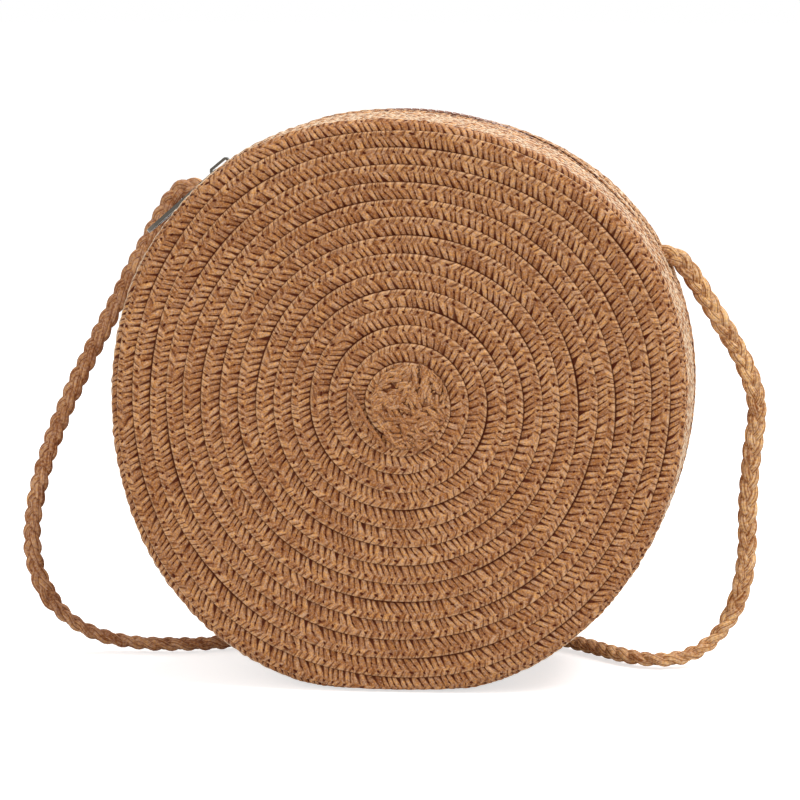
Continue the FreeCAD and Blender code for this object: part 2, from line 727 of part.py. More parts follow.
# Zip.
front_span = "(dims.zip_half_span - dims.tape_trim_angle)"
back_span = "(dims.zip_half_span + dims.tape_lap_angle)"
nodes["zip_tape_front"] = zip_tape("zip_tape_front", "-1", front_span)
nodes["zip_tape_back"] = zip_tape("zip_tape_back", "1", back_span)
nodes["zip_teeth_front"] = zip_teeth("zip_teeth_front", "-1", 0)
nodes["zip_teeth_back"] = zip_teeth("zip_teeth_back", "1", 0.5)
nodes["zip_slider_body"] = zip_slider("zip_slider_body")
nodes["zip_slider_bridge"] = slider_bridge("zip_slider_bridge")
nodes["zip_pull_tab"] = pull_tab("zip_pull_tab")
nodes["zip_stop_front"] = zip_stop(
    "zip_stop_front", TOP_STOP_ANGLE, "-dims.stop_half", "-dims.stop_inner", "dims.top_stop_long"
)
nodes["zip_stop_back"] = zip_stop(
    "zip_stop_back", TOP_STOP_ANGLE, "dims.stop_inner", "dims.stop_half", "dims.top_stop_long"
)
nodes["zip_bottom_stop"] = zip_stop(
    "zip_bottom_stop", BOTTOM_STOP_ANGLE, "-dims.stop_half", "dims.stop_half", "dims.bottom_stop_long"
)

# Tape inside the sewn lower seam.
seam_band = boolean(
    "Cut", "seam_band", seam_ring("seam_outer", "dims.seam_inset"),
    seam_ring("seam_inner", "(dims.seam_inset + dims.seam_wall)")
)
seam_gap = pie("seam_gap", "dims.slit_half", "(dims.zip_half_span + dims.seam_lap_angle)")
nodes["lower_seam_tape"] = boolean("Cut", "lower_seam_tape", seam_band, seam_gap)

# Rope strap.
nodes["strap_left_knot"] = rope_knot("strap_left_knot", "dims.left_anchor_angle", Vector(*LEFT_ROUTE[0]))
nodes["strap_right_knot"] = rope_knot("strap_right_knot", "dims.right_anchor_angle", Vector(*RIGHT_ROUTE[-1]))
nodes["strap_left_run"] = free_run("strap_left_run", LEFT_ROUTE)
nodes["strap_right_run"] = free_run("strap_right_run", RIGHT_ROUTE)
nodes["strap_coil"] = coil("strap_coil")
nodes["strap_coil_tie"] = coil_tie("strap_coil_tie")

doc.recompute()
for item in doc.Objects:
    if "Invalid" in item.State or "Error" in item.State:
        raise RuntimeError(f"{item.Name} failed: {item.State}")
os.makedirs("parts", exist_ok=True)
facets = 0
for node, item in nodes.items():
    item.Label = node
    if item.Shape.isNull() or not item.Shape.isValid():
        raise RuntimeError(f"{node} has no valid shape")
    item.Shape.exportStep(f"parts/{node}.step")
    count = len(item.Shape.tessellate(FACET_SLACK)[1])
    facets += count
    box = item.Shape.BoundBox
    print(
        f"{node}: {len(item.Shape.Solids)} solids, {count} facets, volume {item.Shape.Volume:.0f}, "
        f"x {box.XMin:.1f} {box.XMax:.1f}, y {box.YMin:.1f} {box.YMax:.1f}, z {box.ZMin:.1f} {box.ZMax:.1f}"
    )
print(f"facets {facets}")
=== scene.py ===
"""Looks of the circle bag: spiral-sewn straw pans, a curved zip, a cloth lining and a plaited rope strap."""

import json
import logging
import math
from dataclasses import dataclass, field
from enum import Enum
from typing import Optional

import bpy
import numpy as np
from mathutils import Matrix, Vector
from numpy.polynomial.polynomial import polyval


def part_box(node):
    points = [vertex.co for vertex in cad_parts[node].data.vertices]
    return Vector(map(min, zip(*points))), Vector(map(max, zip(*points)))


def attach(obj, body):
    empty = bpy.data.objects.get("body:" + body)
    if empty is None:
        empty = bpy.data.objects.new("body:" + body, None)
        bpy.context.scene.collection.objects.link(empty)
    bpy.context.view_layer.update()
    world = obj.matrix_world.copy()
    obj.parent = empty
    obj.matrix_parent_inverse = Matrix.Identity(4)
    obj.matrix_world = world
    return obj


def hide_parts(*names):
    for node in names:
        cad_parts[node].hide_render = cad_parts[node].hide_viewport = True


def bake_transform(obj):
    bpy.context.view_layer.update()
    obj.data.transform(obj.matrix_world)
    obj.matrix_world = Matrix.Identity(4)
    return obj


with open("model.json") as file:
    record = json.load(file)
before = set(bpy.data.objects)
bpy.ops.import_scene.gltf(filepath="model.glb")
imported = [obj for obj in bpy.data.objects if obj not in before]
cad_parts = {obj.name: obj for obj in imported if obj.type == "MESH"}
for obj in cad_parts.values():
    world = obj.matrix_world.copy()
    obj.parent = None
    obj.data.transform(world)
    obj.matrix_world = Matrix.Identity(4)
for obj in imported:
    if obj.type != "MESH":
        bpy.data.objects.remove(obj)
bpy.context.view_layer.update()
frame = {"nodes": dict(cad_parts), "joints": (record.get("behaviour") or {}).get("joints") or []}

LOG = logging.getLogger("circle_bag")
MM = 0.001
FULL_TURN = 2 * math.pi
TINT_RISE = (0.32, 0.68)
FINE_DETAIL = 3.0
PLAIN_DETAIL = 1.0
WEAVE_PATCH = 0.35
Socket = bpy.types.NodeSocket
Sockets = dict[str, str]
Pair = tuple[float, float]
Triple = tuple[float, float, float]
Colour = Triple


class Side(Enum):
    """The two pans of the bag; the value is the sign of Y on which the pan lies."""

    FRONT = -1
    BACK = 1


class Slot(Enum):
    """Material slots of the part's record; each piece built here is handed one, which nothing reads."""

    STRAW = "straw_braid"
    LINING = "lining_cloth"
    TAPE = "zip_tape"
    ROPE = "jute_rope"


def smoothstep(low: float, high: float, value: np.ndarray) -> np.ndarray:
    """A rise from 0 at low to 1 at high, level at both ends."""
    share = np.clip((value - low) / (high - low), 0, 1)
    return share * share * (3 - 2 * share)


def unit(rows: np.ndarray) -> np.ndarray:
    """Rows brought to length 1."""
    return rows / np.linalg.norm(rows, axis=-1, keepdims=True)


def stacked(*parts: np.ndarray) -> np.ndarray:
    """Parts spread to one shape and laid side by side along a new last axis."""
    return np.stack(np.broadcast_arrays(*parts), -1)


def circle(count: int) -> np.ndarray:
    """Even angles round a full turn, without the last."""
    return np.linspace(0, FULL_TURN, count, endpoint=False)


def closed(angles: np.ndarray) -> np.ndarray:
    """Angles of a circle with the last one added."""
    return np.append(angles, FULL_TURN)


def lattice(down: Triple, right: Triple) -> list[np.ndarray]:
    """Two even runs of values, each given by its start, end and count, crossed into a grid."""
    return np.meshgrid(np.linspace(*down), np.linspace(*right), indexing="ij")


def past(angle: np.ndarray, middle: float) -> np.ndarray:
    """How far angles lie past a middle one, from minus to plus half a turn."""
    return (angle - middle + math.pi) % FULL_TURN - math.pi


def tube(
    line: np.ndarray, side: np.ndarray, upward: np.ndarray, sizes: tuple, angles: np.ndarray
) -> np.ndarray:
    """Rings of points round a line.

    Args:
        line: points of the line.
        side: directions across it, one for each point.
        upward: directions square to both, one for each point.
        sizes: half sizes of the rings along the two directions, points by angles.
        angles: angles round a ring.

    Returns:
        The points, rows by columns by 3.
    """
    wide, deep = sizes[0] * np.cos(angles), sizes[1] * np.sin(angles)
    return line[:, None] + wide[..., None] * side[:, None] + deep[..., None] * upward[:, None]


def joint(name: str) -> dict:
    """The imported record's joint of that name."""
    return next(item for item in frame["joints"] if item["name"] == name)


@dataclass
class Grid:
    """A surface sampled on a grid of two parameters.

    Attributes:
        points: places of the samples, rows by columns by 3.
        uv: texture coordinates, rows by columns by 2; a closed direction has one more sample than points.
        marks: named values at the samples, rows by columns or rows by columns by 3.
        kept: which cells become faces; all of them when it is None.
        closed_rows: the last row joins the first.
        closed_columns: the last column joins the first.
    """

    points: np.ndarray
    uv: Optional[np.ndarray] = None
    marks: dict[str, np.ndarray] = field(default_factory=dict)
    kept: Optional[np.ndarray] = None
    closed_rows: bool = False
    closed_columns: bool = False

    def cells(self) -> tuple[np.ndarray, np.ndarray]:
        """Corner rows and columns of each kept cell, four each, without wrapping.

        Returns:
            Two arrays, cells by 4: the row and the column of each corner.
        """
        rows, columns = self.points.shape[:2]
        down = np.arange(rows - (not self.closed_rows))
        right = np.arange(columns - (not self.closed_columns))
        row, column = np.meshgrid(down, right, indexing="ij")
        if self.kept is not None:
            row, column = row[self.kept], column[self.kept]
        row, column = row.ravel(), column.ravel()
        next_row, next_column = row + 1, column + 1
        rows_round = np.stack([row, next_row, next_row, row], 1)
        return rows_round, np.stack([column, column, next_column, next_column], 1)


def mesh_object(name: str, grids: list[Grid], material: bpy.types.Material) -> bpy.types.Object:
    """Joins grids into one smooth mesh object at the origin.

    Args:
        name: the piece's name.
        grids: its surfaces; all of them have the same marks.
        material: its finish.

    Returns:
        The object, linked to the scene.
    """
    corners, texture, start = [], [], 0
    for grid in grids:
        rows, columns = grid.points.shape[:2]
        row, column = grid.cells()
        corners.append(start + (row % rows) * columns + column % columns)
        uv = grid.uv if grid.uv is not None else grid.points[..., :2]
        held = np.minimum(row, uv.shape[0] - 1), np.minimum(column, uv.shape[1] - 1)
        texture.append(uv[held].reshape(-1, 2))
        start += rows * columns
    faces = np.concatenate(corners)
    mesh = bpy.data.meshes.new(name)
    mesh.vertices.add(start)
    points = np.concatenate([grid.points.ravel() for grid in grids])
    mesh.vertices.foreach_set("co", points.astype(np.float32))
    mesh.loops.add(faces.size)
    mesh.loops.foreach_set("vertex_index", faces.ravel().astype(np.int32))
    mesh.polygons.add(len(faces))
    mesh.polygons.foreach_set("loop_start", np.arange(0, faces.size, 4, dtype=np.int32))
    mesh.update(calc_edges=True)
    layer = mesh.uv_layers.new(name="lay")
    layer.data.foreach_set("uv", np.concatenate(texture).astype(np.float32).ravel())
    for mark in grids[0].marks:
        values = [grid.marks[mark] for grid in grids]
        kind = "FLOAT" if values[0].ndim == 2 else "FLOAT_VECTOR"
        store = mesh.attributes.new(mark, kind, "POINT")
        flat = np.concatenate([value.ravel() for value in values]).astype(np.float32)
        store.data.foreach_set("value" if kind == "FLOAT" else "vector", flat)
    mesh.shade_smooth()
    mesh.materials.append(material)
    piece = bpy.data.objects.new(name, mesh)
    bpy.context.scene.collection.objects.link(piece)
    LOG.info("%s: %d faces", name, len(faces))
    return piece


class Bench:
    """A node tree with short calls that add and join its nodes."""

    def __init__(self, tree: bpy.types.NodeTree) -> None:
        """Keeps the tree."""
        self.tree = tree

    def add(self, kind: str, values: Optional[dict] = None, **settings: object) -> bpy.types.Node:
        """Adds a node.

        Args:
            kind: the node's type, without the ShaderNode prefix.
            values: input sockets by name or index, each given a value or joined to a socket.
            **settings: properties of the node.

        Returns:
            The node.
        """
        node = self.tree.nodes.new("ShaderNode" + kind)
        for key, value in settings.items():
            setattr(node, key, value)
        for key, value in (values or {}).items():
            if isinstance(value, Socket):
                self.join(value, node.inputs[key])
            else:
                node.inputs[key].default_value = value
        return node

    def math(self, operation: str, *values: object) -> Socket:
        """The result of a Math node on values or sockets."""
        return self.add("Math", dict(enumerate(values)), operation=operation).outputs[0]

    def times(self, first: object, second: object) -> Socket:
        """The product of two numbers."""
        return self.math("MULTIPLY", first, second)

    def times_plus(self, first: object, second: object, third: object) -> Socket:
        """The product of two numbers, plus a third."""
        return self.math("MULTIPLY_ADD", first, second, third)

    def weighed(self, *pairs: tuple[Socket, float]) -> Socket:
        """The sum of values, each times its weight."""
        total: object = 0.0
        for value, weight in pairs:
            total = self.times_plus(value, weight, total)
        return total

    def rest(self, share: Socket) -> Socket:
        """What a share leaves of 1."""
        return self.math("SUBTRACT", 1.0, share)

    def join(self, value: Socket, target: Socket) -> None:
        """Joins a result to an input."""
        self.tree.links.new(value, target)

    def rise(self, low: object, high: object, value: Socket) -> Socket:
        """A smooth step from 0 at low to 1 at high."""
        values = {"Value": value, "From Min": low, "From Max": high}
        return self.add("MapRange", values, interpolation_type="SMOOTHSTEP", clamp=True).outputs[0]

    def span(self, low: float, high: float, value: Socket) -> Socket:
        """A value from 0 to 1 spread over low to high."""
        return self.add("MapRange", {"Value": value, "To Min": low, "To Max": high}, clamp=True).outputs[0]

    def blend(self, share: object, first: object, second: object) -> Socket:
        """A mix of two numbers."""
        return self.add("Mix", {0: share, 2: first, 3: second}, data_type="FLOAT").outputs[0]

    def colour(self, share: object, first: object, second: object, how: str = "MIX") -> Socket:
        """A mix of two colours, each a socket or three numbers."""
        pair = [value if isinstance(value, Socket) else (*value, 1) for value in (first, second)]
        node = self.add("Mix", {0: share, 6: pair[0], 7: pair[1]}, data_type="RGBA", blend_type=how)
        return node.outputs[2]

    def vector(self, x: object, y: object, z: object = 0.0) -> Socket:
        """A vector from three numbers or sockets."""
        return self.add("CombineXYZ", {0: x, 1: y, 2: z}).outputs[0]

    def noise(self, place: Socket, scale: float, detail: float = 2.0) -> Socket:
        """Soft noise from 0 to 1."""
        return self.add("TexNoise", {"Vector": place, "Scale": scale, "Detail": detail}).outputs[0]

    def tinted(self, body: Socket, moved: Socket, scale: float, warm: Colour, cool: Colour) -> Socket:
        """A colour turned warmer and cooler by fine noise."""
        hue = self.colour(self.rise(*TINT_RISE, self.noise(moved, scale, PLAIN_DETAIL)), warm, cool)
        return self.colour(1.0, body, hue, "MULTIPLY")

    def moved(self, place: Socket, by: Triple) -> Socket:
        """A place moved away, so that noise there differs from noise here."""
        return self.add("Mapping", {0: place, "Location": by}).outputs[0]

    def seen(self) -> Socket:
        """1 for the rays that the camera, a mirror or a clear piece sends out."""
        path = self.add("LightPath").outputs
        mirrored = self.math("MAXIMUM", path["Is Camera Ray"], path["Is Glossy Ray"])
        return self.math("MAXIMUM", mirrored, path["Is Transmission Ray"])


def shader_group(name: str, inputs: Sockets, outputs: Sockets) -> tuple[bpy.types.NodeTree, Bench]:
    """An empty shader node group with named sockets.

    Args:
        name: the group's name.
        inputs: socket types by name.
        outputs: socket types by name.

    Returns:
        The group's tree and a bench on it.
    """
    tree = bpy.data.node_groups.new(name, "ShaderNodeTree")
    for in_out, sockets in (("INPUT", inputs), ("OUTPUT", outputs)):
        for label, kind in sockets.items():
            tree.interface.new_socket(name=label, in_out=in_out, socket_type="NodeSocket" + kind)
    return tree, Bench(tree)


def finish_group(bench: Bench, results: dict[str, Socket]) -> None:
    """Joins a group's results to its output node."""
    output = bench.tree.nodes.new("NodeGroupOutput")
    for label, socket in results.items():
        bench.join(socket, output.inputs[label])


def fibre_group() -> bpy.types.NodeTree:
    """Fibres that run along a strand.

    Across and Along are places on the strand in its own widths. Stretched noise gives the fibres, and the
    whole part of Across picks each strand's own tone.

    Returns:
        The group; its outputs are Fibre, Tone and Edge (0 at the strand's border, 1 on its crown).
    """
    tree, bench = shader_group(
        "strand_fibres",
        {"Across": "Float", "Along": "Float", "Count": "Float"},
        {"Fibre": "Float", "Tone": "Float", "Edge": "Float"},
    )
    source = tree.nodes.new("NodeGroupInput")
    across, along, count = source.outputs[0], source.outputs[1], source.outputs[2]
    place = bench.vector(bench.times(across, count), along)
    fibre = bench.noise(place, 1.0, FINE_DETAIL)
    tone = bench.add("TexWhiteNoise", {"W": bench.math("FLOOR", across)}, noise_dimensions="1D").outputs[0]
    share = bench.math("FRACT", across)
    edge = bench.math("PINGPONG", share, 0.5)
    finish_group(bench, {"Fibre": fibre, "Tone": tone, "Edge": bench.times(edge, 2.0)})
    return tree


def weave_group() -> bpy.types.NodeTree:
    """A plain weave.

    Warp and weft are rounded ridges, and a chequer of the two thread counts says which one lies on top.

    Returns:
        The group; its outputs are Height and Shade.
    """
    inputs = {"Place": "Vector", "Count": "Float"}
    tree, bench = shader_group("plain_weave", inputs, {"Height": "Float", "Shade": "Float"})
    source = tree.nodes.new("NodeGroupInput")
    parts = bench.add("SeparateXYZ", {0: source.outputs[0]})
    first = bench.times(parts.outputs[0], source.outputs[1])
    second = bench.times(parts.outputs[1], source.outputs[1])
    ridges = [bench.math("PINGPONG", value, 0.5) for value in (first, second)]
    count = bench.math("ADD", bench.math("FLOOR", first), bench.math("FLOOR", second))
    over = bench.math("MODULO", count, 2.0)
    height = bench.blend(over, ridges[0], ridges[1])
    shade = bench.noise(bench.vector(first, second), WEAVE_PATCH, FINE_DETAIL)
    finish_group(bench, {"Height": bench.times(height, 2.0), "Shade": shade})
    return tree


@dataclass(frozen=True)
class Finish:
    """A finish: the surface that all its materials share, and the nodes that vary it."""

    name: str
    roughness: float
    specular: float
    bump_strength: float = 0.6
    bump_height: float = 0.45 * MM

    def begin(self) -> tuple[bpy.types.Material, Bench, bpy.types.Node]:
        """A new material with its bench and Principled shader."""
        material = bpy.data.materials.new(self.name)
        material.use_nodes = True
        bench = Bench(material.node_tree)
        shader = material.node_tree.nodes["Principled BSDF"]
        shader.inputs["Roughness"].default_value = self.roughness
        shader.inputs["Specular IOR Level"].default_value = self.specular
        return material, bench, shader

    def bump(self, bench: Bench, shader: bpy.types.Node, height: Socket) -> None:
        """Raises the surface by a height from 0 to 1."""
        values = {"Height": height, "Strength": self.bump_strength, "Distance": self.bump_height}
        bench.join(bench.add("Bump", values).outputs[0], shader.inputs["Normal"])


@dataclass(frozen=True)
class StrawFinish(Finish):
    """Paper-straw braid: slanted strands with open wedges inside each row, lapped loops on its outer part.

    Pairs that name a wedge or a hole hold the value at even borders and the one at odd borders, apart from
    wedge_end and hole_rim. These two and the other pairs are the two ends of a rise.
    """

    # Deep colour of the painted shade in openings, at borders and in pits.
    deep: Colour = (0.072, 0.010, 0.001)
    dark: Colour = (0.225, 0.075, 0.022)
    mid: Colour = (0.385, 0.172, 0.070)
    pale: Colour = (0.64, 0.350, 0.164)
    # Colour of the painted highlights: small glints and the bright lip along each row's outer edge.
    bright: Colour = (0.84, 0.55, 0.31)
    # Pale colour of the painted sheen seen at grazing angles.
    grazing_sheen: Colour = (0.84, 0.66, 0.46)
    golden: Colour = (1.08, 0.97, 0.68)
    rosy: Colour = (0.93, 1.01, 1.32)
    outer_part: Pair = (0.56, 0.70)
    wedge_least: Pair = (0.12, 0.04)
    wedge_spread: Pair = (0.18, 0.13)
    wedge_from: float = -0.08
    wedge_to: Pair = (0.60, 0.46)
    wedge_soft: float = 0.085
    wedge_strength: Pair = (0.75, 0.4)
    wedge_chance: Pair = (0.25, 0.5)
    wedge_faint: float = 0.25
    wedge_end: Pair = (0.70, 0.58)
    hole_level: Pair = (0.74, 0.38)
    hole_stray: float = 0.08
    hole_tall: Pair = (0.075, 0.06)
    hole_wide: Pair = (0.20, 0.15)
    hole_rim: Pair = (1.6, 0.4)
    hole_share: float = 0.85
    fibre_run: float = 2.0
    fibre_count: float = 3.0
    mottle_scale: float = 1500.0
    drift_scale: float = 34.0
    speck_scale: float = 2100.0
    tint_scale: float = 1600.0
    tint_apart: Triple = (3.0, 5.0, 7.0)
    mottle_weight: float = 0.32
    fibre_weight: float = 0.64
    tone_weight: float = 0.16
    drift_weight: float = 0.10
    edge_weight: float = 0.14
    edge_power: float = 0.6
    mid_rise: Pair = (0.51, 0.71)
    pale_rise: Pair = (0.665, 0.905)
    glint_rise: Pair = (0.56, 0.72)
    glint_share: float = 0.3
    pit_rise: Pair = (0.43, 0.28)
    pit_share: float = 0.45
    lip_rise: Pair = (0.88, 0.95)
    lip_fibre: Pair = (0.35, 0.6)
    lip_share: float = 0.4
    graze_rise: Pair = (0.69, 0.89)
    graze_share: float = 0.85
    crease_rise: Pair = (0.34, 0.03)
    crease_share: float = 0.4
    inner_shade: Pair = (-0.03, 0.09)
    outer_shade: Pair = (1.045, 1.0)
    rough_spread: float = 0.12
    bump_fibre: float = 0.35
    bump_speck: float = 0.3

    def gaps(self, bench: Bench, strand: Socket, across: Socket) -> Socket:
        """Openings between the strands, painted dark as shade.

        Whole numbers of the strand's phase are borders. A border opens into a wedge towards the row's inner
        side, and a little hole lies on it further out. Even borders have the wide wedge, and their hole lies
        between two loops. Odd borders have the small wedge and a hole halfway across the strands. Chance
        varies each.

        Args:
            bench: the material's bench.
            strand: phase of the strands.
            across: place across the row, from 0 to 1.

        Returns:
            A mask, 0 in an opening; there the colour turns to the painted shade and the bump is lowered.
        """
        border = bench.math("FLOOR", bench.math("ADD", strand, 0.5))
        off = bench.math("ABSOLUTE", bench.math("SUBTRACT", strand, border))
        odd = bench.math("MODULO", border, 2.0)
        noise = bench.add("TexWhiteNoise", {"W": border}, noise_dimensions="1D").outputs["Color"]
        chance = bench.add("SeparateXYZ", {0: noise}).outputs
        least, spread = bench.blend(odd, *self.wedge_least), bench.blend(odd, *self.wedge_spread)
        wide = bench.times_plus(chance[0], spread, least)
        taper = bench.rest(bench.rise(self.wedge_from, bench.blend(odd, *self.wedge_to), across))
        half = bench.times(wide, taper)
        shut = bench.rest(bench.rise(half, bench.math("ADD", half, self.wedge_soft), off))
        strength = bench.blend(odd, *self.wedge_strength)
        strong = bench.times_plus(chance[1], bench.blend(odd, *self.wedge_chance), strength)
        fade = bench.times_plus(bench.rise(0.0, 0.5, taper), 1 - self.wedge_faint, self.wedge_faint)
        fade = bench.times(fade, bench.rise(*self.wedge_end, across))
        wedge = bench.times(shut, bench.times(strong, fade))
        level = bench.times_plus(chance[1], self.hole_stray, bench.blend(odd, *self.hole_level))
        upward = bench.math("SUBTRACT", across, level)
        upward = bench.math("DIVIDE", upward, bench.blend(odd, *self.hole_tall))
        sideways = bench.math("DIVIDE", off, bench.blend(odd, *self.hole_wide))
        far = bench.math("ADD", bench.times(upward, upward), bench.times(sideways, sideways))
        there = bench.math("LESS_THAN", chance[2], self.hole_share)
        hole = bench.times(bench.rise(*self.hole_rim, far), there)
        return bench.times(bench.rest(wedge), bench.rest(hole))

    def material(self, fibres: bpy.types.NodeTree) -> bpy.types.Material:
        """Builds the material from the mark "strand": phases of strands and loops, and the place across.

        Args:
            fibres: the shared strand group.

        Returns:
            The material.
        """
        material, bench, shader = self.begin()
        mark = bench.add("Attribute", attribute_name="strand").outputs["Vector"]
        parts = bench.add("SeparateXYZ", {0: mark})
        strand, loop, across = parts.outputs[0], parts.outputs[1], parts.outputs[2]
        zone = bench.rise(*self.outer_part, across)
        ahead = bench.times(across, self.fibre_run)
        groups = [
            bench.add("Group", {0: phase, 1: ahead, 2: self.fibre_count}, node_tree=fibres).outputs
            for phase in (strand, bench.times(loop, 2.0))
        ]
        fibre, tone, edge = (bench.blend(zone, groups[0][index], groups[1][index]) for index in range(3))
        place = bench.add("TexCoord").outputs["Object"]
        speck = bench.noise(place, self.speck_scale, PLAIN_DETAIL)
        light = bench.weighed(
            (bench.noise(place, self.mottle_scale), self.mottle_weight),
            (fibre, self.fibre_weight),
            (tone, self.tone_weight),
            (bench.noise(place, self.drift_scale, FINE_DETAIL), self.drift_weight),
            # Painted highlight: the strands' crowns are lighter than their flanks.
            (bench.math("POWER", edge, self.edge_power), self.edge_weight),
        )
        body = bench.colour(bench.rise(*self.mid_rise, light), self.dark, self.mid)
        body = bench.colour(bench.rise(*self.pale_rise, light), body, self.pale)
        # Painted highlights: fine noise scatters small bright glints over the straw.
        painted_glints = bench.times(bench.rise(*self.glint_rise, speck), self.glint_share)
        body = bench.colour(painted_glints, body, self.bright)
        apart = bench.moved(place, self.tint_apart)
        body = bench.tinted(body, apart, self.tint_scale, self.golden, self.rosy)
        # Painted highlight: a bright line along each row's outer edge, broken up by the fibres.
        lip_highlight = bench.times(bench.rise(*self.lip_fibre, fibre), self.lip_share)
        body = bench.colour(bench.times(bench.rise(*self.lip_rise, across), lip_highlight), body, self.bright)
        # Painted sheen: the colour turns pale where the surface is seen at a grazing angle.
        graze = bench.rise(*self.graze_rise, bench.add("LayerWeight").outputs["Facing"])
        graze = bench.times(graze, self.graze_share)
        body = bench.colour(graze, body, self.grazing_sheen)
        # Painted shade: the colour darkens towards the deep colour at the strands' borders, where each row
        # tucks under the one before it, in the openings between strands and in tiny pits; the painted sheen
        # lifts it at grazing angles.
        creased = bench.times_plus(tone, self.crease_share, self.crease_share)
        crease = bench.times(bench.rise(*self.crease_rise, edge), creased)
        under = bench.times(bench.rise(*self.inner_shade, across), bench.rise(*self.outer_shade, across))
        gap = self.gaps(bench, strand, across)
        pit = bench.times(bench.rise(*self.pit_rise, speck), self.pit_share)
        shade = bench.times(bench.times(gap, under), bench.rest(crease))
        shade = bench.math("MAXIMUM", bench.times(shade, bench.rest(pit)), graze)
        bench.join(bench.colour(shade, self.deep, body), shader.inputs["Base Color"])
        rough = bench.span(self.roughness - self.rough_spread, self.roughness + self.rough_spread, fibre)
        bench.join(rough, shader.inputs["Roughness"])
        height = bench.times_plus(fibre, self.bump_fibre, bench.math("POWER", edge, 0.5))
        height = bench.times(bench.times_plus(speck, self.bump_speck, height), gap)
        self.bump(bench, shader, height)
        return material


@dataclass(frozen=True)
class RopeFinish(Finish):
    """Plaited jute: pale golden fibres and brown yarns; painted shade in the furrows and on the left run,
    painted light on the right run.
    """

    deep: Colour = (0.175, 0.055, 0.014)
    mid: Colour = (0.36, 0.180, 0.084)
    pale: Colour = (0.65, 0.42, 0.225)
    golden: Colour = (1.06, 0.98, 0.74)
    rosy: Colour = (0.95, 1.01, 1.26)
    left_painted_shade: Colour = (1.05, 0.95, 0.93)
    right_painted_light: Colour = (1.44, 1.49, 1.45)
    runs: Pair = (0.35, 0.85)
    yarns: float = 5.0
    twist_rate: float = 90.0
    fibre_rate: float = 120.0
    fibre_count: float = 5.0
    patch_scale: float = 140.0
    grain_scale: float = 1200.0
    tint_scale: float = 1500.0
    tint_apart: Triple = (2.0, 6.0, 4.0)
    fibre_weight: float = 0.6
    patch_weight: float = 0.35
    grain_weight: float = 0.5
    mid_rise: Pair = (0.54, 0.70)
    pale_rise: Pair = (0.63, 0.88)
    yarn_share: float = 0.3
    furrow_rise: Pair = (-0.1, 0.35)
    bump_fibre: float = 0.6
    bump_height: float = 0.3 * MM

    def material(self, fibres: bpy.types.NodeTree) -> bpy.types.Material:
        """Builds the material; UV is the length along the strand in metres and the turn round it.

        Args:
            fibres: the shared strand group.

        Returns:
            The material.
        """
        material, bench, shader = self.begin()
        parts = bench.add("SeparateXYZ", {0: bench.add("UVMap", uv_map="lay").outputs[0]})
        along, turn = parts.outputs[0], parts.outputs[1]
        across = bench.times_plus(turn, self.yarns, bench.times(along, self.twist_rate))
        values = {0: across, 1: bench.times(along, self.fibre_rate), 2: self.fibre_count}
        fibre, tone, edge = bench.add("Group", values, node_tree=fibres).outputs[:3]
        place = bench.add("TexCoord").outputs["Object"]
        light = bench.weighed(
            (fibre, self.fibre_weight),
            (bench.noise(place, self.patch_scale, FINE_DETAIL), self.patch_weight),
            (bench.noise(place, self.grain_scale, FINE_DETAIL), self.grain_weight),
        )
        body = bench.colour(bench.rise(*self.mid_rise, light), self.deep, self.mid)
        body = bench.colour(bench.rise(*self.pale_rise, light), body, self.pale)
        body = bench.colour(bench.span(0.0, self.yarn_share, tone), body, self.deep)
        # Painted shade: the colour darkens to the deep colour in the furrows at the strands' borders.
        body = bench.colour(bench.rise(*self.furrow_rise, edge), self.deep, body)
        apart = bench.moved(place, self.tint_apart)
        body = bench.tinted(body, apart, self.tint_scale, self.golden, self.rosy)
        # Painted light and shade: the left run is darkened as if in shade, the right run lightened as if lit.
        run = bench.colour(bench.rise(*self.runs, along), self.left_painted_shade, self.right_painted_light)
        bench.join(bench.colour(1.0, body, run, "MULTIPLY"), shader.inputs["Base Color"])
        height = bench.times_plus(fibre, self.bump_fibre, bench.math("POWER", edge, 0.5))
        self.bump(bench, shader, height)
        return material


@dataclass(frozen=True)
class ClothFinish(Finish):
    """Plain woven cloth of one dye."""

    ground: Colour = (0.5, 0.4, 0.28)
    lift: Colour = (0.62, 0.5, 0.36)
    thread_count: float = 2200.0
    shade_rise: Pair = (0.2, 0.8)
    height_rise: Pair = (-0.3, 0.8)
    bump_strength: float = 0.5
    bump_height: float = 0.12 * MM

    def material(self, weave: bpy.types.NodeTree) -> bpy.types.Material:
        """Builds the material; UV is in metres.

        Args:
            weave: the shared weave group.

        Returns:
            The material.
        """
        material, bench, shader = self.begin()
        place = bench.add("UVMap", uv_map="lay").outputs[0]
        group = bench.add("Group", {0: place, 1: self.thread_count}, node_tree=weave)
        height, shade = group.outputs[0], group.outputs[1]
        # Painted light and shade of the weave: the lighter colour sits on the raised thread crowns, the
        # darker between threads, varied at random by noise.
        share = bench.times(bench.rise(*self.shade_rise, shade), bench.rise(*self.height_rise, height))
        bench.join(bench.colour(share, self.ground, self.lift), shader.inputs["Base Color"])
        self.bump(bench, shader, height)
        return material


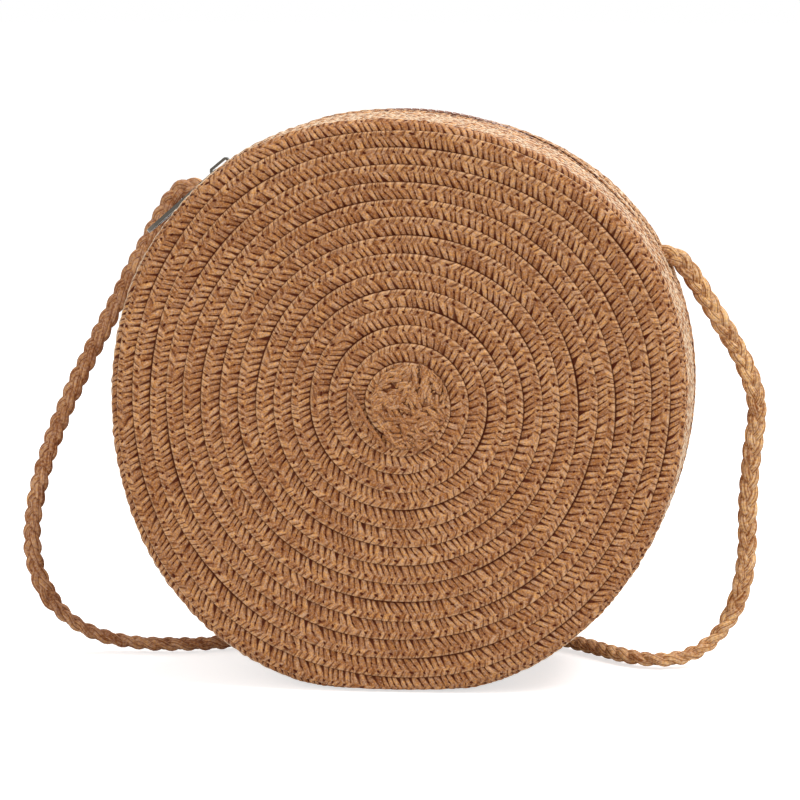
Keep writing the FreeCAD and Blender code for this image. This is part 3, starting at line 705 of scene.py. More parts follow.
@dataclass(frozen=True)
class NickelFinish(Finish):
    """Polished nickel plate with fine scratches."""

    plate: Colour = (0.095, 0.085, 0.072)
    worn: Colour = (0.05, 0.044, 0.037)
    worn_rise: Pair = (0.5, 0.9)
    cloud_scale: float = 220.0
    scratch_scale: Triple = (300.0, 3000.0, 300.0)
    scratch_rough: float = 0.18
    bump_strength: float = 0.08
    bump_height: float = 0.05 * MM

    def material(self) -> bpy.types.Material:
        """Builds the material from noise stretched in Object coordinates."""
        material, bench, shader = self.begin()
        shader.inputs["Metallic"].default_value = 1.0
        place = bench.add("TexCoord").outputs["Object"]
        stretched = bench.add("Mapping", {0: place, "Scale": self.scratch_scale}).outputs[0]
        scratch = bench.noise(stretched, 1.0)
        cloud = bench.rise(*self.worn_rise, bench.noise(place, self.cloud_scale))
        bench.join(bench.colour(cloud, self.plate, self.worn), shader.inputs["Base Color"])
        rough = bench.span(self.roughness, self.roughness + self.scratch_rough, scratch)
        bench.join(rough, shader.inputs["Roughness"])
        self.bump(bench, shader, scratch)
        return material


@dataclass(frozen=True)
class ResinFinish(Finish):
    """Moulded resin of the zip teeth."""

    body: Colour = (0.20, 0.075, 0.04)
    lift: Colour = (0.30, 0.13, 0.075)
    lift_rise: Pair = (0.3, 0.8)
    cloud_scale: float = 600.0
    bump_strength: float = 0.15
    bump_height: float = 0.05 * MM

    def material(self) -> bpy.types.Material:
        """Builds the material from soft noise in Object coordinates."""
        material, bench, shader = self.begin()
        cloud = bench.noise(bench.add("TexCoord").outputs["Object"], self.cloud_scale, FINE_DETAIL)
        share = bench.rise(*self.lift_rise, cloud)
        bench.join(bench.colour(share, self.body, self.lift), shader.inputs["Base Color"])
        self.bump(bench, shader, cloud)
        return material


class Finishes:
    """All materials of the bag, each built once."""

    def __init__(self) -> None:
        """Builds the shared groups and the materials."""
        fibres, weave = fibre_group(), weave_group()
        self.straw = StrawFinish("sewn_straw_braid", 0.65, 0.12).material(fibres)
        self.rope = RopeFinish("plaited_jute", 0.8, 0.2).material(fibres)
        self.lining = ClothFinish("cotton_lining", 0.85, 0.2).material(weave)
        self.tape = ClothFinish(
            "zip_tape_cloth",
            0.8,
            0.2,
            ground=(0.13, 0.045, 0.022),
            lift=(0.25, 0.10, 0.055),
            thread_count=2600.0,
        ).material(weave)
        self.nickel = NickelFinish("polished_nickel", 0.14, 0.5).material()
        self.teeth = ResinFinish("zip_resin", 0.35, 0.4).material()


@dataclass(frozen=True)
class BagForm:
    """The soft drum of the bag: two pans with flat faces, rounded edges and a leaning gusset.

    Angles round the bag are counted from the top, clockwise seen from the front.
    """

    centre: Vector
    radius: float
    half_depth: float
    relief_height: float = 0.3 * MM
    edge_radius: float = 5 * MM
    lean: float = math.radians(2.24)
    slit_half: float = 4.5 * MM
    seam_half: float = 0.35 * MM
    zip_roll: float = math.radians(12)
    zip_half_span: float = math.radians(58)
    slit_fade: float = math.radians(6)
    floor_gap: float = 0.5 * MM
    floor_soft: float = 1.6 * MM
    held_depth: float = 16 * MM
    swells: tuple[Pair, ...] = (
        (0.47 * MM, 0.21 * MM),
        (-1.02 * MM, -0.61 * MM),
        (-0.75 * MM, -0.37 * MM),
    )
    swell_from: float = 0.7
    wave_height: float = 0.45 * MM
    first_wave: Triple = (72.0, 41.0, 1.3)
    second_wave: Triple = (-67.0, 55.0, 0.4)
    dent: float = 0.9 * MM
    dent_middle: float = 1.0 * MM
    dent_at: float = math.radians(-48)
    dent_half: float = math.radians(14)

    @classmethod
    def from_frame(cls) -> "BagForm":
        """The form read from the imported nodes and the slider's joint."""
        centre = Vector(joint("slider_travel")["pos_m"])
        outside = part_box("front_lip")[1].z - centre.z
        return cls(centre, outside - cls.relief_height, -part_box("front_shell")[0].y)

    @property
    def face_reach(self) -> float:
        """Radius of the flat face."""
        wall = self.half_depth - self.edge_radius * (1 - math.sin(self.lean))
        return self.radius - wall * math.tan(self.lean) - self.edge_radius * math.cos(self.lean)

    @property
    def edge_length(self) -> float:
        """Length of the rounded edge's arc."""
        return self.edge_radius * (math.pi / 2 - self.lean)

    @property
    def wall_length(self) -> float:
        """Length of the leaning wall, from the rounded edge to the middle of the bag."""
        return (self.half_depth - self.edge_radius * (1 - math.sin(self.lean))) / math.cos(self.lean)

    @property
    def full_length(self) -> float:
        """Length of the whole meridian, from the face's centre to the middle of the bag."""
        return self.face_reach + self.edge_length + self.wall_length

    def meridian(self, length: np.ndarray) -> tuple[np.ndarray, np.ndarray, np.ndarray, np.ndarray]:
        """The pan's profile: a straight face, an arc and a leaning wall.

        Args:
            length: distance along the profile from the face's centre.

        Returns:
            The radius, the distance from the middle plane, and the outward normal's radial and depth parts.
        """
        turn = np.clip((length - self.face_reach) / self.edge_radius, 0, math.pi / 2 - self.lean)
        wall = np.clip(length - self.face_reach - self.edge_length, 0, None)
        reach = np.minimum(length, self.face_reach) + self.edge_radius * np.sin(turn)
        reach = reach + wall * math.sin(self.lean)
        depth = self.half_depth - self.edge_radius * (1 - np.cos(turn)) - wall * math.cos(self.lean)
        return reach, depth, np.sin(turn), np.cos(turn)

    def zip_ends(self, lap: float) -> Pair:
        """Angles at which a piece ends that laps the slit's two ends."""
        reach = self.zip_half_span + lap
        return self.zip_roll - reach, self.zip_roll + reach

    def on_zip(self, angle: np.ndarray) -> np.ndarray:
        """1 along the zip's slit and 0 past its ends, with a soft change between."""
        return smoothstep(0, self.slit_fade, self.zip_half_span - np.abs(past(angle, self.zip_roll)))

    def rim(self, angle: np.ndarray) -> np.ndarray:
        """Distance of a pan's rim from the middle plane: the slit at the top, the sewn seam elsewhere."""
        return self.seam_half + (self.slit_half - self.seam_half) * self.on_zip(angle)

    def swell(self, angle: np.ndarray, depth: np.ndarray) -> np.ndarray:
        """How far the soft drum stands out of the round.

        Two, three and four waves round the bag are added. The zip's tape holds the rim in beside the slit,
        and the pull tab has pressed a dent into it.

        Args:
            angle: angle round the bag.
            depth: distance from the middle plane.

        Returns:
            The change of the radius at the drum's outside.
        """
        waves = sum(
            part[0] * np.cos(count * angle) + part[1] * np.sin(count * angle)
            for count, part in enumerate(self.swells, 2)
        )
        near = 1 - smoothstep(self.slit_half, self.held_depth, depth)
        pressed = np.exp(-((past(angle, self.dent_at) / self.dent_half) ** 2))
        waves = waves - (self.dent + self.dent_middle * near) * pressed
        return waves - np.maximum(waves, 0) * self.on_zip(angle) * near

    def rim_length(self, angle: np.ndarray) -> np.ndarray:
        """Distance along the profile at which the pan ends."""
        return self.full_length - self.rim(angle) / math.cos(self.lean)

    def place(self, side: Side, length: np.ndarray, angle: np.ndarray, lift: np.ndarray) -> np.ndarray:
        """Points on a pan.

        The profile turns round the centre; the whole is lifted along its normal, gently waved as soft straw
        is, and rounded off where it stands on the floor.

        Args:
            side: the pan.
            length: distance along the profile.
            angle: angle round the bag.
            lift: height over the surface.

        Returns:
            The points, with the shape of the arguments and 3 columns.
        """
        reach, depth, radial, across = self.meridian(length)
        outer = smoothstep(self.swell_from * self.face_reach, self.radius, reach)
        reach = reach + self.swell(angle, depth) * outer
        x, z = reach * np.sin(angle), reach * np.cos(angle)
        right, above, start = self.first_wave
        wave = np.sin(right * x + above * z + start)
        right, above, start = self.second_wave
        wave = wave + np.sin(right * x + above * z + start * side.value)
        height = lift + self.wave_height * wave * (1 - radial)
        x = x + height * radial * np.sin(angle)
        z = z + height * radial * np.cos(angle) + self.centre.z - self.floor_gap
        z = self.floor_gap + 0.5 * (z + np.sqrt(z * z + self.floor_soft**2))
        return stacked(x, side.value * (depth + height * across), z)


@dataclass(frozen=True)
class Fold:
    """The fold across the front pan, along which its upper part leans out when the zip is open."""

    below: float = 14 * MM
    above: float = 5 * MM

    def bend(self, piece: bpy.types.Object) -> None:
        """Bakes a piece's transform into its mesh; the fold's hinge is read, but the piece is not bent."""
        hinge = joint("mouth_open")
        axis, point = Vector(hinge["axis"]), Vector(hinge["pos_m"])
        upward = axis.cross(Vector((0, 1, 0)))
        upward = upward if upward.z > 0 else -upward
        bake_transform(piece)


def seat(piece: bpy.types.Object, slot: Slot, *nodes: str, fold: Optional[Fold] = None) -> None:
    """Parents a piece to the body, or bakes it in place when it has a fold, and hides the frame's nodes that
    it stands for.

    Args:
        piece: the piece.
        slot: not used.
        *nodes: the frame's nodes that it stands for.
        fold: the fold, whose bend only bakes the piece in place; without one it rides on the body.
    """
    if fold is None:
        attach(piece, "bag_body")
    else:
        fold.bend(piece)
    if nodes:
        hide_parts(*nodes)


@dataclass
class StrawPan:
    """One pan: a braid sewn in a spiral from the middle of the face to the rim.

    Pairs that end in rise are places across a row, from 0 at its inner side to 1 at its outer side. A wobble
    is the length of a wave along the braid and its size.
    """

    side: Side
    form: BagForm
    fold: Fold
    step: float
    seed: int
    row: float = 5.53 * MM
    row_phase: float = 0.31
    first_turn: float = 1.9
    spare_turns: float = 1.5
    shift: Pair = (2.95 * MM, 2.25 * MM)
    slip: Pair = (0.004, 0.020)
    strand_pitch: float = 2.08 * MM
    strand_slant: float = math.radians(24)
    strand_tall: float = 0.6 * MM
    strand_mean: float = 0.5
    strand_rise: Pair = (-0.06, 0.03)
    strand_sunk: float = 0.9
    sunk_rise: Pair = (0.3, 0.7)
    loop_lean: float = 1.2
    loop_at: float = 0.8
    loop_tall: float = 0.4 * MM
    loop_mean: float = 0.6
    loop_power: float = 0.7
    loop_rise: Pair = (0.58, 0.78)
    loop_end_rise: Pair = (0.95, 1.06)
    tuck: float = 0.62 * MM
    tuck_rise: Pair = (-0.05, 0.34)
    climb: float = 0.34 * MM
    climb_rise: Pair = (0.35, 0.93)
    drop: float = 0.75 * MM
    drop_rise: Pair = (0.97, 1.06)
    least_tall: float = 0.65
    tall_spread: float = 0.7
    slant_wobble: Pair = (26 * MM, 0.3)
    strand_wobbles: tuple[Pair, Pair] = ((17 * MM, 0.45), (7 * MM, 0.2))
    loop_wobble: Pair = (11 * MM, 0.18)
    row_wobble: Pair = (60 * MM, 0.5 * MM)
    rim_thick: float = 1.25 * MM
    rim_sink: float = 0.5 * MM
    rim_least: float = 0.86
    rim_ridge: float = 0.22
    rim_climb: float = 0.2
    rim_lane: float = 0.8
    face_cut: float = 0.75
    edge_cut: float = 0.5
    wall_cut: float = 0.4

    LANES = np.array(
        [-0.06, 0, 0.05, 0.11, 0.19, 0.28, 0.37, 0.46, 0.54, 0.61, 0.69, 0.78, 0.87, 0.95, 1.01, 1.06]
    )
    SPIRAL_STEPS = 20000
    CHANCES = 4096
    RIM_GRID = (1300, 12)
    WAVES = 4
    WAVE_SPREAD = (0.6, 1.4)

    def clockwise(self, angle: np.ndarray) -> np.ndarray:
        """Angle round the bag of an angle counted clockwise seen from outside this pan."""
        return angle if self.side is Side.FRONT else -angle

    def laid(self, length: np.ndarray, angle: np.ndarray) -> tuple[np.ndarray, np.ndarray]:
        """Turns places counted from the spiral's middle into places counted from the pan's middle.

        The flattened spiral is shifted as a whole and slips back a little with the distance from its middle.

        Args:
            length: distance from the spiral's middle.
            angle: clockwise angle from the top, seen from outside this pan.

        Returns:
            Distance along the pan's profile and angle round the bag.
        """
        x = length * np.sin(angle) + self.shift[0] - self.slip[0] * length
        z = length * np.cos(angle) + self.shift[1] - self.slip[1] * length
        return np.hypot(x, z), self.clockwise(np.arctan2(x, z))

    def wobble(self, along: np.ndarray, wave: float, size: float) -> np.ndarray:
        """Smooth seeded unevenness along the braid, one column: the mean of a few sine waves."""
        chance = np.random.default_rng(self.seed + int(wave / MM))
        rates = FULL_TURN * chance.uniform(*self.WAVE_SPREAD, self.WAVES) / wave
        phases = chance.uniform(0, FULL_TURN, self.WAVES)
        return size * np.sin(along[:, None] * rates + phases).mean(1)[:, None]

    def spiral(self) -> tuple[np.ndarray, np.ndarray]:
        """Even steps along the braid: the arc length of the spiral is summed and read back at equal steps.

        Returns:
            The length along the braid and the turn at each step.
        """
        last = (self.form.full_length + math.hypot(*self.shift)) / self.row + self.spare_turns
        turn = np.linspace(self.first_turn, last, self.SPIRAL_STEPS)
        reach = self.form.meridian(self.row * (turn - 0.5))[0]
        ahead = np.concatenate([[0], np.cumsum(FULL_TURN * 0.5 * (reach[1:] + reach[:-1]) * np.diff(turn))])
        along = np.arange(0, ahead[-1], self.step)
        return along, np.interp(along, ahead, turn)

    def relief(self, along: np.ndarray) -> tuple[np.ndarray, np.ndarray]:
        """Height of the braid over the pan.

        Each row climbs from under the row before it to its own outer edge and drops there. On its inner part,
        slanted strands are half-round ridges. On its outer part each pair of strands turns back in one loop,
        a dome that leans the other way.

        Args:
            along: length along the braid.

        Returns:
            The height and the strands' mark, each steps by lanes.
        """
        lanes = self.LANES
        across = lanes * self.row
        slant = np.tan(self.strand_slant + self.wobble(along, *self.slant_wobble))
        stray = sum(self.wobble(along, *wobble) for wobble in self.strand_wobbles)
        strand = (along[:, None] + slant * across) / self.strand_pitch + stray
        astray = self.wobble(along, *self.loop_wobble)
        loop = strand / 2 - self.loop_lean * (lanes - self.loop_at) + astray + 1
        chance = np.random.default_rng(self.seed).random(self.CHANCES)
        vary = self.least_tall + self.tall_spread * chance
        ridge = np.sqrt(np.abs(np.sin(math.pi * strand)))
        ridge = ridge * vary[np.floor(strand).astype(int) % self.CHANCES] - self.strand_mean
        dome = np.abs(np.sin(math.pi * loop)) ** self.loop_power
        dome = dome * vary[np.floor(loop).astype(int) % self.CHANCES] - self.loop_mean
        inner = smoothstep(*self.strand_rise, lanes)
        inner = inner * (1 - self.strand_sunk * smoothstep(*self.sunk_rise, lanes))
        outer = smoothstep(*self.loop_rise, lanes) * (1 - smoothstep(*self.loop_end_rise, lanes))
        profile = self.climb * smoothstep(*self.climb_rise, lanes)
        profile = profile - self.drop * smoothstep(*self.drop_rise, lanes)
        profile = profile - self.tuck * (1 - smoothstep(*self.tuck_rise, lanes))
        height = profile + self.strand_tall * inner * ridge + self.loop_tall * outer * dome
        return height, stacked(strand, loop, lanes)

    def braid(self) -> Grid:
        """The whole braid as one grid, cut off at the rim."""
        along, turn = self.spiral()
        height, mark = self.relief(along)
        far = self.row * (turn[:, None] - 1 + self.LANES) + self.wobble(along, *self.row_wobble)
        length, angle = self.laid(far, FULL_TURN * (turn - self.row_phase)[:, None])
        end = self.form.rim_length(angle)
        points = self.form.place(self.side, np.minimum(length, end), angle, height)
        uv = stacked(along[:, None], self.LANES * self.row)
        return Grid(points, uv, {"strand": mark}, (length < end)[:-1, :-1])

    def rim_roll(self) -> Grid:
        """The turned rim: a roll along the edge, ridged like the braid's outer loops."""
        angle, round_it = map(circle, self.RIM_GRID)
        angle = angle[:, None]
        count = np.round(FULL_TURN * self.form.radius / (2 * self.strand_pitch))
        loop = count * angle / FULL_TURN + round_it / FULL_TURN
        share = loop % 1
        ridge = (1 - share) * smoothstep(0, self.rim_climb, share)
        thick = self.rim_thick * (self.rim_least + self.rim_ridge * ridge)
        length = self.form.rim_length(angle) - self.rim_thick + thick * np.cos(round_it)
        lift = -self.rim_sink - self.side.value * thick * np.sin(round_it)
        points = self.form.place(self.side, length, angle * np.ones_like(round_it), lift)
        mark = stacked(loop, loop, self.rim_lane)
        uv = stacked(angle * self.form.radius, thick)
        return Grid(points, uv, {"strand": mark}, closed_rows=True, closed_columns=True)

    def build(self, finishes: Finishes) -> None:
        """Builds the pan's pieces, the braid cut into four along its length, and joins them to the frame."""
        whole = self.braid()
        name = self.side.name.lower()
        face, edge, wall = self.form.face_reach, self.form.edge_length, self.form.wall_length
        length = self.row * (self.spiral()[1] - 1)
        ends = [self.face_cut * face, face + self.edge_cut * edge, face + edge + self.wall_cut * wall]
        cuts = [0, *np.searchsorted(length, ends), len(length) - 1]
        pieces = []
        for label, low, high in zip(("face", "face_outer", "edge", "gusset"), cuts, cuts[1:]):
            part = slice(low, high + 1)
            marked = {key: value[part] for key, value in whole.marks.items()}
            grid = Grid(whole.points[part], whole.uv[part], marked, whole.kept[low:high])
            pieces.append(mesh_object(f"{name}_braid_{label}", [grid], finishes.straw))
        pieces.append(mesh_object(f"{name}_rim", [self.rim_roll()], finishes.straw))
        front = self.side is Side.FRONT
        fold = self.fold if front else None
        nodes = ("front_shell", "front_lip") if front else ("back_shell",)
        seat(pieces[0], Slot.STRAW, *nodes, fold=fold)
        for piece in pieces[1:]:
            seat(piece, Slot.STRAW, fold=fold)


@dataclass
class SpiralHeart:
    """The middle of a pan: a low cushion of short straw ends, creased, with a stray straw beside it."""

    pan: StrawPan
    offset: Pair = (1.9 * MM, 0.9 * MM)
    reach: float = 12.4 * MM
    drawn_down: float = 1.28
    border: int = 8
    count: int = 300
    half_length: Pair = (1.1 * MM, 2.2 * MM)
    half_wide: Pair = (0.55 * MM, 0.85 * MM)
    taper: float = 0.25
    level: Pair = (0.35 * MM, 0.8 * MM)
    crown: float = 0.28 * MM
    dip: float = 0.35 * MM
    lane: float = 0.52
    upper_rise: Pair = (-0.3, 0.3)
    upright_rise: Pair = (-0.2, 0.3)
    left_tilt: float = math.radians(28)
    right_tilt: float = math.radians(62)
    lower_tilt: float = math.radians(12)
    chance_tilt: float = 1.7
    crease_wide: float = 0.42 * MM
    crease_deep: float = 0.5 * MM
    crease_lane: float = 0.54
    bed_hole: float = 0.02
    bed_lift: float = 0.35 * MM
    bed_drop: float = 0.9 * MM
    bed_lane: float = 0.03
    bed_straws: int = 9
    stray_half: float = 0.58 * MM
    stray_lift: float = 1.15 * MM
    stray_crown: float = 0.3 * MM
    stray_dip: float = 0.7 * MM
    stray_wave: Pair = (0.35, 9.0)
    stray_across: Pair = (0.85, 0.55)
    stray_mark: float = 0.6

    CREASES = (
        ((-0.2, 5.6), (-0.2, 0.8)),
        ((0.0, -1.5), (8.6, -2.1)),
        ((-3.6, -3.3), (-0.2, -4.2)),
        ((-8.2, -4.6), (-3.6, -6.2)),
        ((-5.8, 3.0), (-1.9, 5.2)),
        ((1.2, 8.6), (3.0, 6.9)),
        ((3.4, -9.4), (0.4, -12.2)),
        ((6.0, -6.4), (8.4, -8.0)),
    )
    STRAY_RIGHT = (-16.8, 12.2, -0.9)
    STRAY_ABOVE = (4.7, -19.5, 1.0)
    STRAW_GRID = (8, 5)
    BED_GRID = (16, 91)
    STRAY_GRID = (48, 7)
    MARK_APART = 3
    MARK_HALF = 0.49
    SEED_APART = 500

    def on_face(self, x: np.ndarray, z: np.ndarray, lift: np.ndarray) -> np.ndarray:
        """Points on the pan's face, right of and above the spiral's middle, seen from outside."""
        length, angle = self.pan.laid(np.hypot(x, z), np.arctan2(x, z))
        return self.pan.form.place(self.pan.side, length, angle, lift)

    def crease(self, x: np.ndarray, z: np.ndarray) -> np.ndarray:
        """How near places are to a crease, by the distance to each short line: 0 away from all."""
        depth = np.zeros_like(x)
        for (x0, z0), (x1, z1) in self.CREASES:
            start, run = np.array([x0, z0]) * MM, np.array([x1 - x0, z1 - z0]) * MM
            share = np.clip(((x - start[0]) * run[0] + (z - start[1]) * run[1]) / (run @ run), 0, 1)
            off = np.hypot(x - start[0] - share * run[0], z - start[1] - share * run[1])
            near = np.exp(-((off / self.crease_wide) ** 2))
            depth = np.maximum(depth, near * (0.5 + 2 * share * (1 - share)))
        return depth

    def marks(self, number: int, across: np.ndarray, lane: object) -> dict[str, np.ndarray]:
        """The braid's mark for one straw: its own number, the place across it and one across the row."""
        phase = self.MARK_APART * number + 0.5 + self.MARK_HALF * across
        return {"strand": stacked(phase, phase, lane)}

    def cushion(self) -> list[Grid]:
        """Short straw ends beside and over each other.

        Each is a crowned ribbon whose ends dip. They lean to the upper right in the cushion's upper left,
        stand upright on its right and lie flat below, each turned a little by chance. Creases press them
        down.

        Returns:
            The ribbons.
        """
        chance = np.random.default_rng(self.pan.seed + self.SEED_APART)
        s, t = lattice((-1, 1, self.STRAW_GRID[0]), (-1, 1, self.STRAW_GRID[1]))
        grids = []
        for number in range(self.count):
            far, turn, lean, long, wide, high = chance.random(6)
            middle = self.reach * math.sqrt(far)
            right, above = math.sin(FULL_TURN * turn), math.cos(FULL_TURN * turn)
            upper = float(smoothstep(*self.upper_rise, np.array(above)))
            upright = float(smoothstep(*self.upright_rise, np.array(right)))
            angle = upper * (self.left_tilt + self.right_tilt * upright) - self.lower_tilt * (1 - upper)
            angle += self.chance_tilt * (lean - 0.5)
            ahead = np.interp(long, (0, 1), self.half_length) * s
            side = np.interp(wide, (0, 1), self.half_wide) * t * (1 - self.taper * s**2)
            x = middle * right + math.cos(angle) * ahead - math.sin(angle) * side
            z = middle * above + math.sin(angle) * ahead + math.cos(angle) * side
            soft = (1 + (np.hypot(x, z) / self.reach) ** self.border) ** (-1 / self.border)
            x = soft * x + self.offset[0]
            z = soft * z * np.where(z < 0, self.drawn_down, 1) + self.offset[1]
            pressed = self.crease(x, z)
            lift = np.interp(high, (0, 1), self.level) + self.crown * (1 - t**2)
            lift = lift - self.dip * s**4 - self.crease_deep * pressed
            # Pressed creases move the mark towards the row's inner side, where the straw finish paints shade.
            marks = self.marks(number, t, self.lane - self.crease_lane * pressed)
            grids.append(Grid(self.on_face(x, z, lift), np.stack([ahead, side], -1), marks))
        return grids

    def ground(self) -> Grid:
        """The bed under the straw ends: a disc of rings that turns down at its border."""
        ring, turn = lattice((self.bed_hole, 1, self.BED_GRID[0]), (0, FULL_TURN, self.BED_GRID[1]))
        x, z = self.reach * ring * np.sin(turn), self.reach * ring * np.cos(turn)
        z = z * np.where(z < 0, self.drawn_down, 1)
        lift = self.bed_lift - self.bed_drop * ring**self.border
        points = self.on_face(x + self.offset[0], z + self.offset[1], lift)
        # The low lane paints the bed dark: painted shade under the straw ends.
        marks = self.marks(self.count, np.sin(self.bed_straws * turn), self.bed_lane)
        return Grid(points, np.stack([x, z], -1), marks)

    def stray(self) -> Grid:
        """The stray straw: a narrow ribbon on a slack curve from the nest's left to its lower edge."""
        s, t = lattice((0, 1, self.STRAY_GRID[0]), (-1, 1, self.STRAY_GRID[1]))
        tall, rate = self.stray_wave
        x = (polyval(s, self.STRAY_RIGHT) + tall * np.sin(rate * s)) * MM
        z = polyval(s, self.STRAY_ABOVE) * MM
        wide = self.stray_half * np.sqrt(np.clip(1 - (2 * s - 1) ** 8, 0, 1)) * t
        lift = self.stray_lift + self.stray_crown * (1 - t**2) - self.stray_dip * (2 * s - 1) ** 6
        points = self.on_face(x + self.stray_across[0] * wide, z + self.stray_across[1] * wide, lift)
        marks = self.marks(self.count + 1, self.stray_mark * t, self.lane)
        return Grid(points, np.stack([x, z], -1), marks)

    def build(self, finishes: Finishes) -> None:
        """Builds the cushion and the stray straw on the body."""
        name = self.pan.side.name.lower()
        for label, grids in (("heart", [self.ground(), *self.cushion()]), ("stray_straw", [self.stray()])):
            seat(mesh_object(f"{name}_{label}", grids, finishes.straw), Slot.STRAW)


@dataclass
class Lining:
    """The cloth lining: a bag inside the bag, sewn to the zip tapes."""

    form: BagForm
    fold: Fold
    inset: float = 3.9 * MM
    slack: float = 0.25 * MM
    puckers: Pair = (23.0, 60.0)
    pucker_rise: Pair = (0.5, 0.9)
    mouth_half: float = 8 * MM

    GRID = (361, 90)
    FIRST_SHARE = 0.002

    def half(self, side: Side) -> Grid:
        """One half: the pan's profile set inwards, with soft puckers across it."""
        angle = np.linspace(0, FULL_TURN, self.GRID[0])[:, None]
        share = np.linspace(self.FIRST_SHARE, 1, self.GRID[1])
        turn = angle if side is Side.FRONT else -angle
        length = share * (self.form.full_length - self.form.on_zip(turn) * self.mouth_half)
        pucker = self.slack * np.sin(self.puckers[0] * angle + self.puckers[1] * share)
        lift = -self.inset + pucker * smoothstep(*self.pucker_rise, share)
        points = self.form.place(side, length, turn * np.ones_like(length), lift)
        return Grid(points, np.stack([length * np.sin(angle), length * np.cos(angle)], -1))

    def build(self, finishes: Finishes) -> None:
        """Builds both halves and joins them to the frame."""
        front = mesh_object("front_lining", [self.half(Side.FRONT)], finishes.lining)
        back = mesh_object("back_lining", [self.half(Side.BACK)], finishes.lining)
        seat(front, Slot.LINING, "lining_front", "lining_lip", fold=self.fold)
        seat(back, Slot.LINING, "lining_back")


@dataclass
class Zip:
    """The curved zip: two tapes, with the teeth, slider and pull tab of the frame dressed."""

    form: BagForm
    fold: Fold
    tape_seat: float = 2.45 * MM
    tape_wall: float = 0.6 * MM
    tape_edge: float = 1.2 * MM
    tape_reach: float = 9 * MM
    lap: float = math.radians(2.5)
    steps: int = 240
    lanes: int = 9

    METAL = (
        "zip_slider_body",
        "zip_slider_bridge",
        "zip_pull_tab",
        "zip_stop_front",
        "zip_stop_back",
        "zip_bottom_stop",
    )
    TEETH = ("zip_teeth_front", "zip_teeth_back")

    def tape(self, side: Side) -> Grid:
        """One tape: a thin flat band, bent round the bag."""
        angle = np.linspace(*self.form.zip_ends(self.lap), self.steps)[:, None]
        share = np.linspace(0, 1, self.lanes)
        depth = np.concatenate([share, share[::-1]]) * (self.tape_reach - self.tape_edge) + self.tape_edge
        top = -self.tape_wall * np.repeat([0.0, 1.0], self.lanes)
        if side is Side.FRONT:
            depth, top = depth[::-1], top[::-1]
        reach = self.form.radius - self.tape_seat - depth * math.tan(self.form.lean) + top
        x, z = reach * np.sin(angle), reach * np.cos(angle) + self.form.centre.z
        uv = stacked(angle * self.form.radius, np.append(depth, depth[0]))
        return Grid(stacked(x, side.value * depth, z), uv, closed_columns=True)

    def build(self, finishes: Finishes) -> None:
        """Builds the tapes and dresses the frame's teeth and metal pieces."""
        front = mesh_object("front_zip_tape", [self.tape(Side.FRONT)], finishes.tape)
        back = mesh_object("back_zip_tape", [self.tape(Side.BACK)], finishes.tape)
        seat(front, Slot.TAPE, "zip_tape_front", fold=self.fold)
        seat(back, Slot.TAPE, "zip_tape_back")
        for material, nodes in ((finishes.nickel, self.METAL), (finishes.teeth, self.TEETH)):
            for node in nodes:
                for place in frame["nodes"][node].material_slots:
                    place.material = material


